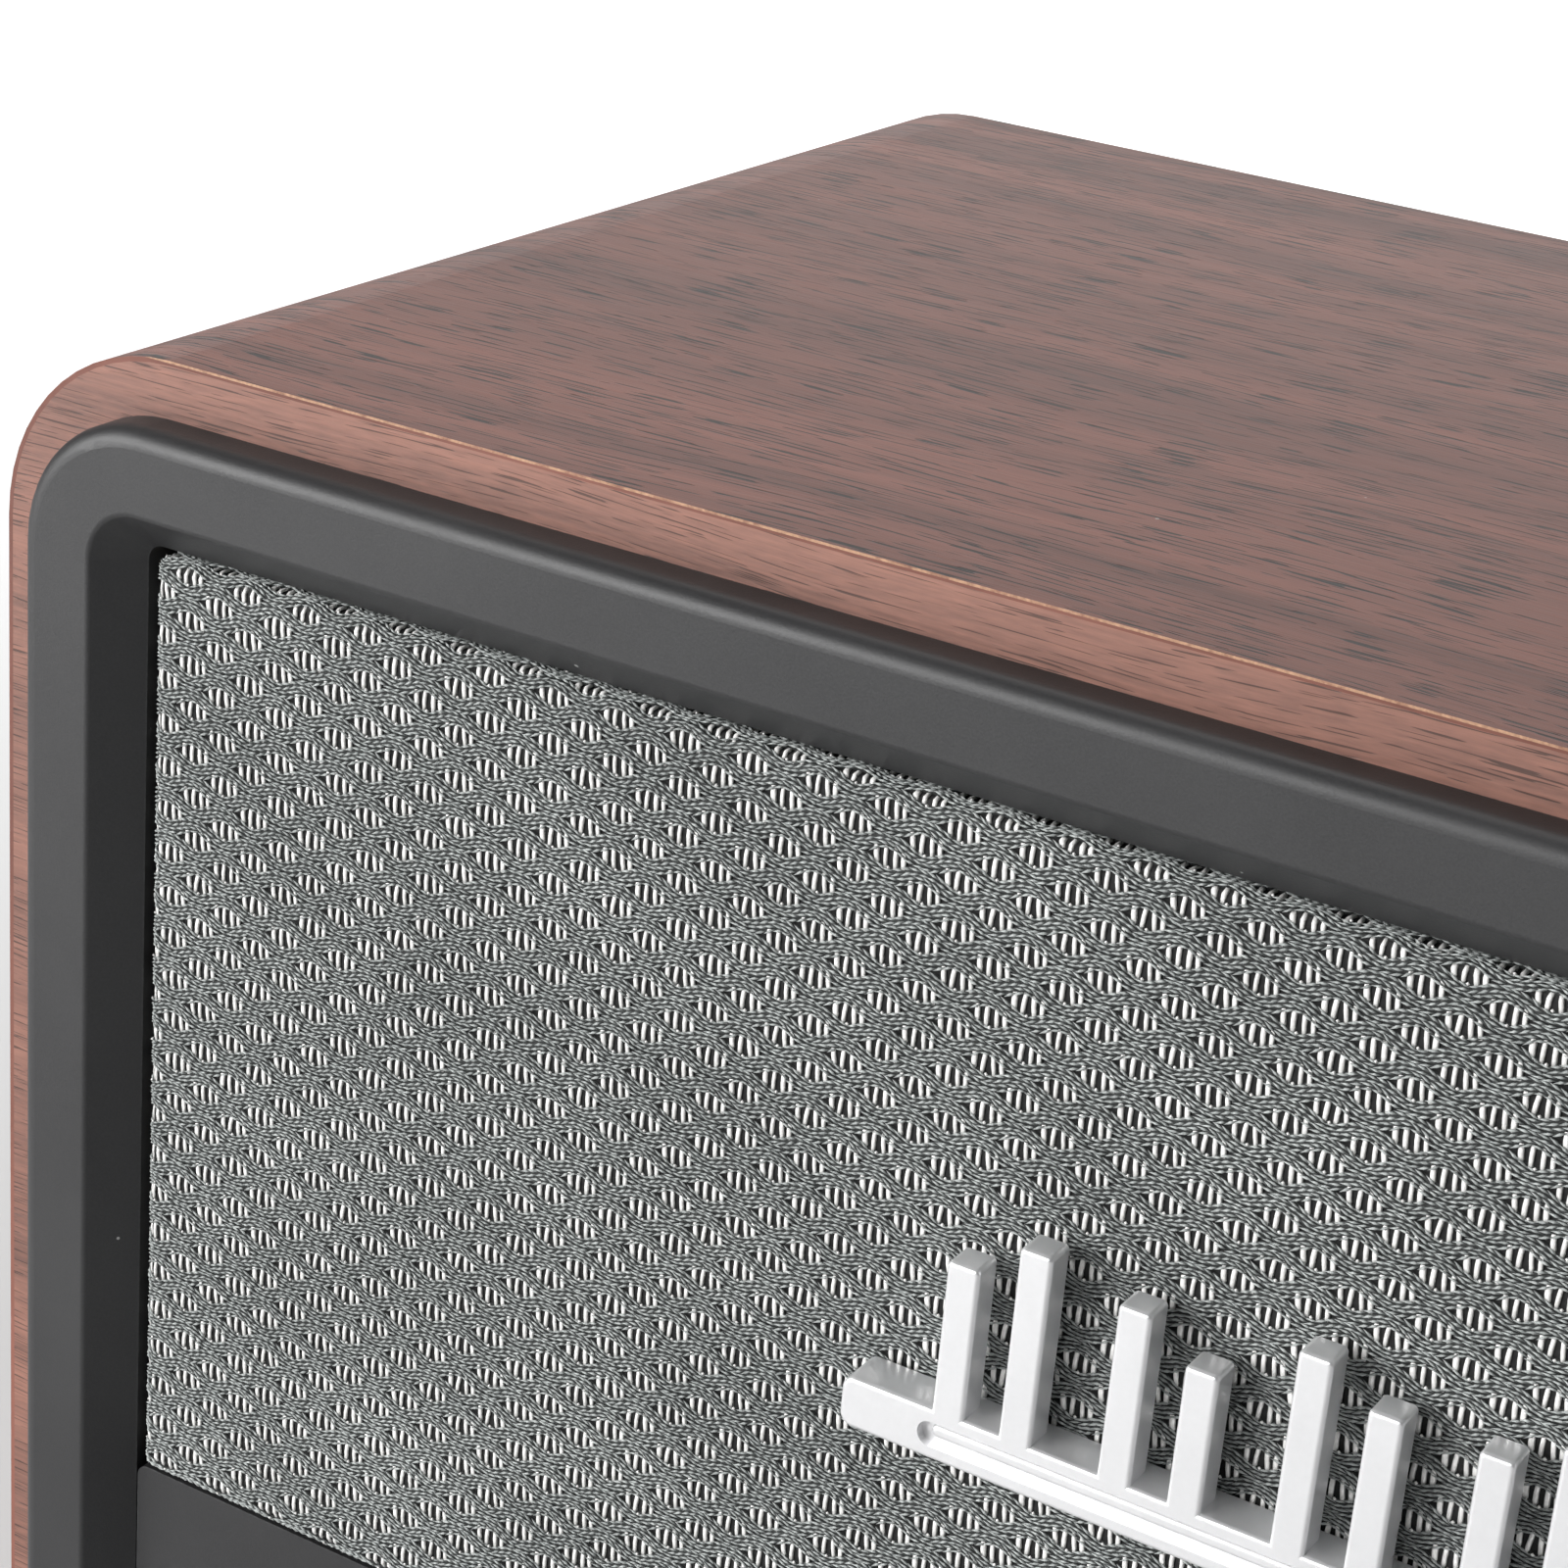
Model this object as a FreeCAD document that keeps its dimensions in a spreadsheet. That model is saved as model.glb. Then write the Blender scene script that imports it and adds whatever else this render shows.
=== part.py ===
import FreeCAD, Part
import math
import os

import Sketcher

# Tabletop stereo radio: a veneered wooden cabinet, a moulded front bezel, a cloth grille
# with a silver badge, a control panel with two knobs and four buttons, and a rear aerial.
# Frame: +X to the listener's right, +Y towards the back, +Z up.  The origin lies under the
# middle of the cabinet, on the surface that the rubber feet stand on.

driving = {
    # cabinet
    "cabinet_wide": 320, "cabinet_deep": 156, "cabinet_high": 188, "cabinet_corner": 20,
    "core_wall": 9, "veneer": 0.5, "fit_gap": 0.3, "board_thick": 9,
    "foot_high": 8, "foot_radius": 9, "foot_inset": 25,
    # bezel, measured inwards from the cabinet's outer sides
    "band": 5.7, "bezel_proud": 4.8, "bezel_lip": 14.3, "bezel_foot": 18.3,
    "bezel_foot_proud": 0.5,
    "bezel_edge": 2, "bezel_lip_edge": 0.8, "bezel_spigot": 6,
    # grille
    "grille_inset": 18.9, "grille_side": 19.6, "grille_high": 102.6, "grille_proud": 1.6,
    "cloth_thick": 0.8,
    "grille_corner": 1.6, "speaker_apart": 170, "grille_hole": 40,
    # badge
    "badge_wide": 110.2, "badge_bar_high": 5.1, "badge_front": 4.8, "badge_thick": 4.6,
    "badge_low": 42.5, "badge_bar_end": 1.3, "badge_edge": 0.45, "badge_groove": 2.5,
    "groove_start": 8, "groove_deep": 0.9, "ridge_high": 1.3,
    "upright_wide": 3.2, "upright_pitch": 16.4, "upright_pair": 6.7, "upright_high": 18.9,
    "upright_thick": 3.2, "pin_radius": 1.5, "pin_apart": 90,
    # control panel
    "panel_gap": 0.6, "panel_thick": 3, "panel_side_gap": 0.15, "panel_corner": 1.4,
    "knob_apart": 212, "bushing_radius": 3.5, "shaft_radius": 3, "running_gap": 0.05,
    "knob_radius": 16, "knob_proud": 16, "knob_lift": 2.2, "knob_edge": 1.2,
    "window_wide": 74, "window_high": 24, "window_rise": 6.5,
    "button_wide": 14, "button_high": 6.5, "button_pitch": 19, "button_drop": 15.5,
    "button_gap": 0.3, "button_proud": 1.5, "button_corner": 1.6, "button_travel": 0.6,
    "board_setback": 9.5, "circuit_thick": 1.6, "board_wide": 250, "board_high": 38,
    "display_wide": 82, "display_high": 28, "display_thick": 5, "stem_radius": 1.6,
    "switch_side": 6, "switch_high": 3, "controls_wide": 256, "controls_high": 42,
    "control_side": 16, "control_deep": 6.2, "thread_long": 4.4, "cap_inset": 3,
    # speakers
    "flange_radius": 38, "basket_radius": 32.5, "cone_radius": 24.2, "magnet_radius": 25,
    "driver_deep": 38, "flange_thick": 2, "basket_wall": 1.2, "cone_thick": 0.8,
    "coil_radius": 8.9, "pole_radius": 7.6, "magnet_hole": 9.5, "magnet_start": 24,
    # boards on the cabinet's floor
    "main_wide": 190, "main_deep": 84, "main_lift": 5, "sink_long": 64, "sink_high": 34,
    "ribbon_wide": 22, "ribbon_thick": 0.8, "ribbon_bend": 7,
    # rear
    "rear_inset": 3, "rear_thick": 6, "plate_wide": 130, "plate_high": 44, "plate_thick": 2.2,
    "plate_centre": 48, "jack_radius": 1.8, "jack_deep": 14, "jack_nose": 4.1,
    "inlet_radius": 2.9, "inlet_pin_radius": 1.05, "inlet_side": 14, "inlet_nose": 5.6,
    "rocker_long": 14.8, "rocker_high": 9.8, "rocker_pivot": 1, "block_side": 14, "block_deep": 24,
    # aerial
    "aerial_side": 128, "aerial_rise": 170, "aerial_reach": 148, "aerial_axis": 10,
    "ear_radius": 6, "ear_thick": 2.2, "aerial_pin_radius": 1.5, "section_step": 2,
}

doc = FreeCAD.newDocument("TableRadio")
dims = doc.addObject("Spreadsheet::Sheet", "Dims")
sub_parts = []
Vector = FreeCAD.Vector
along_y = FreeCAD.Rotation(Vector(1, 0, 0), -90)
along_x = FreeCAD.Rotation(Vector(0, 1, 0), 90)
upwards = FreeCAD.Rotation()
downwards = FreeCAD.Rotation(Vector(1, 0, 0), 180)


def fill_sheet():
    for row, alias in enumerate(driving, 1):
        dims.set("A%d" % row, alias)
        dims.set("B%d" % row, str(driving[alias]))
        dims.setAlias("B%d" % row, alias)
    doc.recompute()


def measure(formula):
    # a spare cell of the sheet works a formula out in millimetres
    dims.set("D1", "=" + str(formula))
    dims.recompute()
    return float(dims.get("D1"))


def bound(formula):
    words = str(formula).replace("(", " ( ").replace(")", " ) ").split()
    return " ".join("Dims." + word if word in driving else word for word in words)


def bind(item, **formulas):
    for name, formula in formulas.items():
        item.setExpression(name.replace("_at_", "."), bound(formula))
    return item


def place(item, x=0, y=0, z=0, turn=None):
    item.Placement = FreeCAD.Placement(Vector(0, 0, 0), turn or FreeCAD.Rotation())
    bind(item, Placement_at_Base_at_x=x, Placement_at_Base_at_y=y, Placement_at_Base_at_z=z)
    return item


def keep(item, label):
    item.Label = label
    sub_parts.append(item)
    return item


# ---- sketches and bodies -------------------------------------------------------------

def new_body(label):
    return keep(doc.addObject("PartDesign::Body", label), label)


def new_sketch(body, role, name, offset=0):
    sketch = body.newObject("Sketcher::SketchObject", name)
    plane = [item for item in body.Origin.OriginFeatures if item.Role == role][0]
    sketch.AttachmentSupport = [(plane, "")]
    sketch.MapMode = "FlatFace"
    sketch.AttachmentOffset = FreeCAD.Placement(Vector(0, 0, measure(offset)), FreeCAD.Rotation())
    return sketch


def drive(sketch, kind, *where, formula):
    index = sketch.addConstraint(Sketcher.Constraint(kind, *where, measure(formula)))
    sketch.setExpression("Constraints[%d]" % index, bound(formula))


def draw_rounded(sketch, wide, high, corner, x="0", z="0"):
    half_w, half_h, r = measure(wide) / 2, measure(high) / 2, measure(corner)
    cx, cz = measure(x), measure(z)
    first = sketch.GeometryCount
    sides = [(-1, -1, 1, -1), (1, -1, 1, 1), (1, 1, -1, 1), (-1, 1, -1, -1)]
    for x0, z0, x1, z1 in sides:
        flat = z0 == z1
        start = Vector(cx + x0 * (half_w - r * flat), cz + z0 * (half_h - r * (not flat)), 0)
        end = Vector(cx + x1 * (half_w - r * flat), cz + z1 * (half_h - r * (not flat)), 0)
        sketch.addGeometry(Part.LineSegment(start, end), False)
    for step, (sx, sz) in enumerate([(1, -1), (1, 1), (-1, 1), (-1, -1)]):
        centre = Vector(cx + sx * (half_w - r), cz + sz * (half_h - r), 0)
        low = math.radians(-90 + 90 * step)
        circle = Part.Circle(centre, Vector(0, 0, 1), r)
        sketch.addGeometry(Part.ArcOfCircle(circle, low, low + math.pi / 2), False)
    for step in range(4):
        line, arc, following = first + step, first + 4 + step, first + (step + 1) % 4
        sketch.addConstraint(Sketcher.Constraint("Tangent", line, 2, arc, 1))
        sketch.addConstraint(Sketcher.Constraint("Tangent", arc, 2, following, 1))
        sketch.addConstraint(Sketcher.Constraint("Vertical" if step % 2 else "Horizontal", line))
        if step:
            sketch.addConstraint(Sketcher.Constraint("Equal", first + 4, arc))
    last = first + 7
    drive(sketch, "Radius", first + 4, formula=corner)
    drive(sketch, "DistanceX", last, 3, first + 4, 3, formula="%s - 2 * ( %s )" % (wide, corner))
    drive(sketch, "DistanceY", first + 4, 3, first + 5, 3,
          formula="%s - 2 * ( %s )" % (high, corner))
    drive(sketch, "DistanceX", -1, 1, last, 3, formula="%s - ( %s ) / 2 + %s" % (x, wide, corner))
    drive(sketch, "DistanceY", -1, 1, last, 3, formula="%s - ( %s ) / 2 + %s" % (z, high, corner))


def draw_circle(sketch, radius, x="0", z="0"):
    centre = Vector(measure(x), measure(z), 0)
    index = sketch.addGeometry(Part.Circle(centre, Vector(0, 0, 1), measure(radius)), False)
    drive(sketch, "Radius", index, formula=radius)
    drive(sketch, "DistanceX", -1, 1, index, 3, formula=x)
    drive(sketch, "DistanceY", -1, 1, index, 3, formula=z)


def draw_polygon(sketch, points):
    first = sketch.GeometryCount
    count = len(points)
    for step, point in enumerate(points):
        following = points[(step + 1) % count]
        sketch.addGeometry(Part.LineSegment(Vector(*point, 0), Vector(*following, 0)), False)
    for step in range(count):
        after = first + (step + 1) % count
        sketch.addConstraint(Sketcher.Constraint("Coincident", first + step, 2, after, 1))


def pad(body, sketch, length, backwards=True):
    feature = body.newObject("PartDesign::Pad", sketch.Name + "_pad")
    feature.Profile = sketch
    feature.Reversed = backwards
    sketch.Visibility = False
    return bind(feature, Length=length)


def pocket(body, sketch, length=None):
    # a pocket runs against its sketch's normal, so from the front plane it cuts towards +Y
    doc.recompute()
    before = body.Tip.Shape.Volume
    feature = body.newObject("PartDesign::Pocket", sketch.Name + "_pocket")
    feature.Profile = sketch
    if length is None:
        feature.Type = "ThroughAll"
        feature.Midplane = True
    else:
        bind(feature, Length=length)
    doc.recompute()
    if feature.Shape.Volume >= before - 1e-6:
        raise RuntimeError(feature.Name + " cuts nothing")
    return feature


def round_edges(body, radius, chosen, name):
    doc.recompute()
    base = body.Tip
    names = ["Edge%d" % (i + 1) for i, edge in enumerate(base.Shape.Edges) if chosen(edge)]
    feature = body.newObject("PartDesign::Fillet", name)
    feature.Base = (base, names)
    return bind(feature, Radius=radius)


def in_plane_y(level):
    return lambda edge: all(abs(v.Point.y - level) < 1e-4 for v in edge.Vertexes)


# ---- primitives ----------------------------------------------------------------------

def block(name, low, size):
    item = doc.addObject("Part::Box", name)
    bind(item, Length=size[0], Width=size[1], Height=size[2])
    return place(item, *low)


def rod(name, radius, length, at, turn=along_y):
    item = doc.addObject("Part::Cylinder", name)
    bind(item, Radius=radius, Height=length)
    return place(item, *at, turn=turn)


def cone(name, radius_near, radius_far, length, at, turn=along_y):
    item = doc.addObject("Part::Cone", name)
    bind(item, Radius1=radius_near, Radius2=radius_far, Height=length)
    return place(item, *at, turn=turn)


def fused(name, items):
    item = doc.addObject("Part::MultiFuse", name)
    item.Shapes = items
    item.Refine = True
    return item


def cut(name, base, *tools):
    item = doc.addObject("Part::Cut", name)
    item.Base = base
    item.Tool = tools[0] if len(tools) == 1 else fused(name + "_tools", list(tools))
    return item


def group(name, solids):
    # identical pieces that share one node, each a solid of its own
    item = doc.addObject("Part::Feature", name)
    item.Shape = Part.makeCompound(solids)
    return keep(item, name)


def screw(seat, outward, head_radius, shank_radius, length, head_high=1.8):
    # pan head with a cross recess; seat is where the head's underside rests
    recess = head_high * 0.5
    arm = head_radius * 1.3
    solid = Part.makeCylinder(head_radius, head_high)
    solid = solid.makeChamfer(head_high * 0.3, [solid.Edges[0]])
    solid = solid.fuse(Part.makeCylinder(shank_radius, length, Vector(0, 0, -length)))
    for wide, deep in ((arm, 0.6), (0.6, arm)):
        corner = Vector(-wide / 2, -deep / 2, head_high - recess)
        solid = solid.cut(Part.makeBox(wide, deep, recess * 2, corner))
    turn = FreeCAD.Rotation(Vector(0, 0, 1), outward)
    solid.Placement = FreeCAD.Placement(seat, turn)
    return solid


# ---- cabinet -------------------------------------------------------------------------

front = "( 0 - cabinet_deep / 2 )"
middle = "( foot_high + cabinet_high / 2 )"
inner_wide = "( cabinet_wide - 2 * ( core_wall + veneer ) )"
inner_high = "( cabinet_high - 2 * ( core_wall + veneer ) )"
inner_corner = "( cabinet_corner - core_wall - veneer )"


def ring_body(label, outer, inner, length, y):
    body = new_body(label)
    sketch = new_sketch(body, "XZ_Plane", label + "_outline")
    draw_rounded(sketch, *outer)
    draw_rounded(sketch, *inner)
    pad(body, sketch, length)
    return place(body, y=y, z=middle)


def plate_body(label, outline, thick, y, z=middle):
    body = new_body(label)
    sketch = new_sketch(body, "XZ_Plane", label + "_outline")
    draw_rounded(sketch, *outline)
    pad(body, sketch, thick)
    return place(body, y=y, z=z)


def add_holes(body, name, circles=(), slots=(), length=None):
    sketch = new_sketch(body, "XZ_Plane", name)
    for radius, x, z in circles:
        draw_circle(sketch, radius, x, z)
    for wide, high, corner, x, z in slots:
        draw_rounded(sketch, wide, high, corner, x, z)
    return pocket(body, sketch, length)


core_outer = ("cabinet_wide - 2 * veneer", "cabinet_high - 2 * veneer", "cabinet_corner - veneer")
inside = (inner_wide, inner_high, inner_corner)
board_outline = (inner_wide + " - 2 * fit_gap", inner_high + " - 2 * fit_gap",
                 inner_corner + " - fit_gap")


def make_cabinet():
    ring_body("cabinet_core", core_outer, inside, "cabinet_deep - veneer", front + " + veneer")
    outer = ("cabinet_wide", "cabinet_high", "cabinet_corner")
    ring_body("veneer_wrap", outer, core_outer, "cabinet_deep", front)
    ring_body("front_veneer", core_outer, inside, "veneer", front)


def make_bezel():
    body = new_body("front_bezel")
    outline = new_sketch(body, "XZ_Plane", "bezel_outline")
    draw_rounded(outline, "cabinet_wide - 2 * band", "cabinet_high - 2 * band",
                 "cabinet_corner - band")
    pad(body, outline, "bezel_proud")
    round_edges(body, "bezel_edge", in_plane_y(0), "bezel_edge_round")
    spigot = new_sketch(body, "XZ_Plane", "bezel_spigot_outline", "0 - bezel_proud")
    draw_rounded(spigot, *board_outline)
    pad(body, spigot, "bezel_spigot")
    foot = ("cabinet_wide - 2 * bezel_foot", "cabinet_high - 2 * bezel_foot",
            "cabinet_corner - bezel_foot")
    add_holes(body, "bezel_opening", slots=[foot + ("0", "0")])
    lip_sketch = new_sketch(body, "XZ_Plane", "bezel_lip_outline")
    draw_rounded(lip_sketch, "cabinet_wide - 2 * bezel_lip", "cabinet_high - 2 * bezel_lip",
                 "cabinet_corner - bezel_lip")
    foot_sketch = new_sketch(body, "XZ_Plane", "bezel_foot_outline",
                             "bezel_foot_proud - bezel_proud")
    draw_rounded(foot_sketch, *foot)
    bevel = body.newObject("PartDesign::SubtractiveLoft", "bezel_bevel")
    bevel.Profile = lip_sketch
    bevel.Sections = [foot_sketch]
    bevel.Ruled = True
    doc.recompute()
    lip_reach = measure("cabinet_wide / 2 - bezel_lip + 0.01")

    def is_lip(edge):
        return in_plane_y(0)(edge) and all(abs(v.Point.x) < lip_reach for v in edge.Vertexes)

    round_edges(body, "bezel_lip_edge", is_lip, "bezel_lip_round")
    place(body, y=front + " - bezel_proud", z=middle)


# ---- grille and badge ----------------------------------------------------------------

grille_wide = "( cabinet_wide - 2 * grille_side )"
grille_centre = "( foot_high + cabinet_high - grille_inset - grille_high / 2 )"
board_front = "( %s + bezel_spigot )" % front
cloth_front = "( %s - grille_proud )" % front


def make_grille():
    cloth = plate_body("grille_cloth", (grille_wide, "grille_high", "grille_corner"),
                       "cloth_thick", cloth_front, grille_centre)
    body = plate_body("grille_frame",
                      (grille_wide + " - 2 * cloth_thick", "grille_high - 2 * cloth_thick",
                       "grille_corner - cloth_thick / 2"),
                      "grille_proud + bezel_spigot - cloth_thick",
                      cloth_front + " + cloth_thick", grille_centre)
    add_holes(body, "speaker_holes", circles=[
        ("grille_hole", "speaker_apart / 2", "0"), ("grille_hole", "0 - speaker_apart / 2", "0")])
    pin_rise = measure("badge_low + badge_bar_high / 2 - grille_high / 2")
    pins = [("pin_radius + running_gap", side + "pin_apart / 2", str(pin_rise))
            for side in ("", "0 - ")]
    add_holes(body, "pin_holes", circles=pins)
    add_holes(cloth, "cloth_pin_holes", circles=pins)


def rounded_slab(wide, high, thick, corner, centre):
    # a flat slab facing -Y whose four corners are rounded; centre lies on its front face
    slab = Part.makeBox(wide, thick, high, centre - Vector(wide / 2, 0, high / 2))
    upright = [edge for edge in slab.Edges
               if abs(edge.Vertexes[0].Point.y - edge.Vertexes[1].Point.y) > thick / 2]
    return slab.makeFillet(corner, upright)


def make_badge():
    # a bar with a grooved ridge carries six pairs of plain uprights of stepped height
    wide, bar, thick = measure("badge_wide"), measure("badge_bar_high"), measure("badge_thick")
    low = measure("foot_high + cabinet_high - grille_inset - grille_high + badge_low")
    face = measure(cloth_front + " - badge_front")
    pitch, pair = measure("upright_pitch"), measure("upright_pair")
    tall, stroke, slim = (measure("upright_" + name) for name in ("high", "wide", "thick"))
    centre = Vector(0, face, low + bar / 2)
    moulding = rounded_slab(wide, bar, thick, measure("badge_bar_end"), centre)
    steps = (0.8, 1, 0.9, 0.72, 1, 0.84)
    root = 0.6
    for number in range(12):
        x = (number // 2 - 2.5) * pitch + (number % 2 - 0.5) * pair
        high = tall * (steps[number] if number < 6 else steps[11 - number]) + root
        spot = Vector(x, face, low + bar - root + high / 2)
        moulding = moulding.fuse(rounded_slab(stroke, high, slim, 0.5, spot))
    moulding = moulding.removeSplitter()
    rim = [edge for edge in moulding.Edges
           if all(abs(vertex.Point.y - face) < 1e-4 for vertex in edge.Vertexes)]
    moulding = moulding.makeFillet(measure("badge_edge"), rim)
    groove, deep = measure("badge_groove"), measure("groove_deep")
    ridge_high, start = measure("ridge_high"), measure("groove_start")
    spot = Vector(0, face, low + bar / 2)
    moulding = moulding.cut(rounded_slab(wide - 2 * start, groove, deep, groove * 0.49, spot))
    ridge = rounded_slab(wide - 2 * start - 2.4, ridge_high, deep, ridge_high * 0.49,
                         spot + Vector(0, 0.25, (groove - ridge_high) / 4))
    crest = [edge for edge in ridge.Edges
             if all(abs(vertex.Point.y - face - 0.25) < 1e-4 for vertex in edge.Vertexes)]
    moulding = moulding.fuse(ridge.makeFillet(ridge_high * 0.35, crest))
    long = measure("grille_proud + bezel_spigot + badge_front - badge_thick - 0.1")
    for side in (-1, 1):
        start = Vector(side * measure("pin_apart / 2"), face + thick - 0.2, low + bar / 2)
        pin = Part.makeCylinder(measure("pin_radius"), long + 0.2, start, Vector(0, 1, 0))
        moulding = moulding.fuse(pin)
    group("badge", [moulding.removeSplitter()])


# ---- control panel, display and board ------------------------------------------------

panel_low = "( foot_high + bezel_foot + panel_side_gap )"
panel_top = "( foot_high + cabinet_high - grille_inset - grille_high - panel_gap )"
panel_centre = "( ( %s + %s ) / 2 )" % (panel_low, panel_top)
panel_front = "( %s - bezel_foot_proud )" % front
circuit_front = "( %s + board_setback )" % panel_front
buttons = ["button_standby", "button_source", "button_preset", "button_menu"]


def button_place(number):
    return "%.1f * button_pitch" % (number - 1.5)


def make_panel():
    body = plate_body("control_panel",
                      ("cabinet_wide - 2 * ( bezel_foot + panel_side_gap )",
                       "%s - %s" % (panel_top, panel_low), "panel_corner"),
                      "panel_thick", panel_front, panel_centre)
    add_holes(body, "bushing_holes", circles=[
        ("bushing_radius + 0.1", "knob_apart / 2", "0"),
        ("bushing_radius + 0.1", "0 - knob_apart / 2", "0")])
    add_holes(body, "window_hole", slots=[
        ("window_wide", "window_high", "1.5", "0", "window_rise")])
    for number, label in enumerate(buttons):
        add_holes(body, label + "_hole", slots=[
            ("button_wide + 2 * button_gap", "button_high + 2 * button_gap", "button_corner",
             button_place(number), "0 - button_drop")])
    plate_body("display_lens", ("window_wide - 0.1", "window_high - 0.1", "1.4"),
               "panel_thick - 0.3", panel_front + " + 0.3", panel_centre + " + window_rise")
    corner = ("0 - display_wide / 2", panel_front + " + panel_thick",
              panel_centre + " + window_rise - display_high / 2")
    size = ("display_wide", "display_thick", "display_high")
    keep(block("display_module", corner, size), "display_module")
    board = plate_body("front_board", ("board_wide", "board_high", "1.5"), "circuit_thick",
                       circuit_front, panel_centre)
    add_holes(board, "board_holes", circles=[("1.6", "60", "0"), ("1.6", "0 - 60", "0")])


def make_buttons():
    for number, label in enumerate(buttons):
        centre = button_place(number)
        body = new_body(label)
        cap = new_sketch(body, "XZ_Plane", label + "_cap")
        draw_rounded(cap, "button_wide", "button_high", "button_corner - button_gap")
        pad(body, cap, "button_proud + panel_thick + 0.1")
        round_edges(body, "0.5", in_plane_y(0), label + "_round")
        depth = "0 - button_proud - panel_thick - 0.1"
        flange = new_sketch(body, "XZ_Plane", label + "_flange", depth)
        draw_rounded(flange, "button_wide + 2.4", "button_high + 2.4", "button_corner")
        pad(body, flange, "0.9")
        stem = new_sketch(body, "XZ_Plane", label + "_stem", depth)
        draw_circle(stem, "stem_radius")
        pad(body, stem, "board_setback - panel_thick - switch_high - button_travel - 0.3")
        place(body, x=centre, y=panel_front + " - button_proud",
              z=panel_centre + " - button_drop")
    level = measure(circuit_front)
    height = measure(panel_centre + " - button_drop")
    side, deep = measure("switch_side"), measure("switch_high")
    switches = []
    for number in range(len(buttons)):
        corner = Vector(measure(button_place(number)) - side / 2, level - deep, height - side / 2)
        switches.append(Part.makeBox(side, deep, side, corner))
    group("tact_switches", switches)


def make_knob(label, side):
    # the knob, its turned cap, the shaft it is pressed on and the rotary part behind the panel
    x = side + "knob_apart / 2"
    tip = "( %s - knob_proud )" % front
    long = "( knob_proud - bezel_foot_proud - knob_lift )"
    skin = fused(label + "_skin", [
        cone(label + "_rim", "knob_radius - knob_edge", "knob_radius", "knob_edge",
             (x, tip, panel_centre)),
        rod(label + "_side", "knob_radius", long + " - knob_edge",
            (x, tip + " + knob_edge", panel_centre))])
    knob = cut(label + "_knob", skin,
               rod(label + "_seat", "knob_radius - cap_inset", "1.2", (x, tip, panel_centre)),
               rod(label + "_bore", "shaft_radius", "20", (x, tip + " + 2.5", panel_centre)),
               rod(label + "_hollow", "bushing_radius + 3.5", "20",
                   (x, panel_front + " - 5.5", panel_centre)))
    keep(knob, label + "_knob")
    keep(rod(label + "_cap", "knob_radius - cap_inset", "1", (x, tip + " + 0.2", panel_centre)),
         label + "_cap")
    keep(rod(label + "_shaft", "shaft_radius", circuit_front + " - 1.5 - ( %s + 2.5 )" % tip,
             (x, tip + " + 2.5", panel_centre)), label + "_shaft")
    case_front = "( %s - control_deep )" % circuit_front
    thread_tip = "( %s - thread_long )" % panel_front
    case = fused(label + "_case", [
        block(label + "_case_block",
              (x + " - control_side / 2", case_front, panel_centre + " - control_side / 2"),
              ("control_side", "control_deep", "control_side")),
        rod(label + "_bushing", "bushing_radius", "%s - %s" % (case_front, thread_tip),
            (x, thread_tip, panel_centre))])
    keep(cut(label + "_control", case,
             rod(label + "_case_bore", "shaft_radius + running_gap",
                 circuit_front + " - 1.4 - ( %s - 5 )" % panel_front,
                 (x, panel_front + " - 5", panel_centre))), label + "_control")


def make_bushing_nuts():
    nuts = []
    for side in (-1, 1):
        seat = Vector(side * measure("knob_apart / 2"), measure(panel_front), measure(panel_centre))
        hexagon = Part.makePolygon([seat + Vector(5.6 * math.cos(math.radians(60 * k)), 0,
                                                  5.6 * math.sin(math.radians(60 * k)))
                                    for k in range(7)])
        nut = Part.Face(hexagon).extrude(Vector(0, -2.2, 0))
        hole = Part.makeCylinder(measure("bushing_radius"), 3, seat + Vector(0, 0.2, 0),
                                 Vector(0, -1, 0))
        nuts.append(nut.cut(hole))
    group("bushing_nuts", nuts)


# ---- baffle and speakers -------------------------------------------------------------

def make_baffle():
    body = plate_body("baffle_board", board_outline, "board_thick", board_front)
    rise = "%s - %s" % (grille_centre, middle)
    add_holes(body, "driver_holes", circles=[
        ("basket_radius + 0.5", "speaker_apart / 2", rise),
        ("basket_radius + 0.5", "0 - speaker_apart / 2", rise)])
    add_holes(body, "controls_hole", slots=[
        ("controls_wide", "controls_high", "4", "0", "%s - %s" % (panel_centre, middle))])
    pins = "%s + badge_low + badge_bar_high / 2 - grille_high / 2" % rise
    add_holes(body, "badge_pin_holes", circles=[
        ("4.5", "pin_apart / 2", pins), ("4.5", "0 - pin_apart / 2", pins)])


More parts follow.
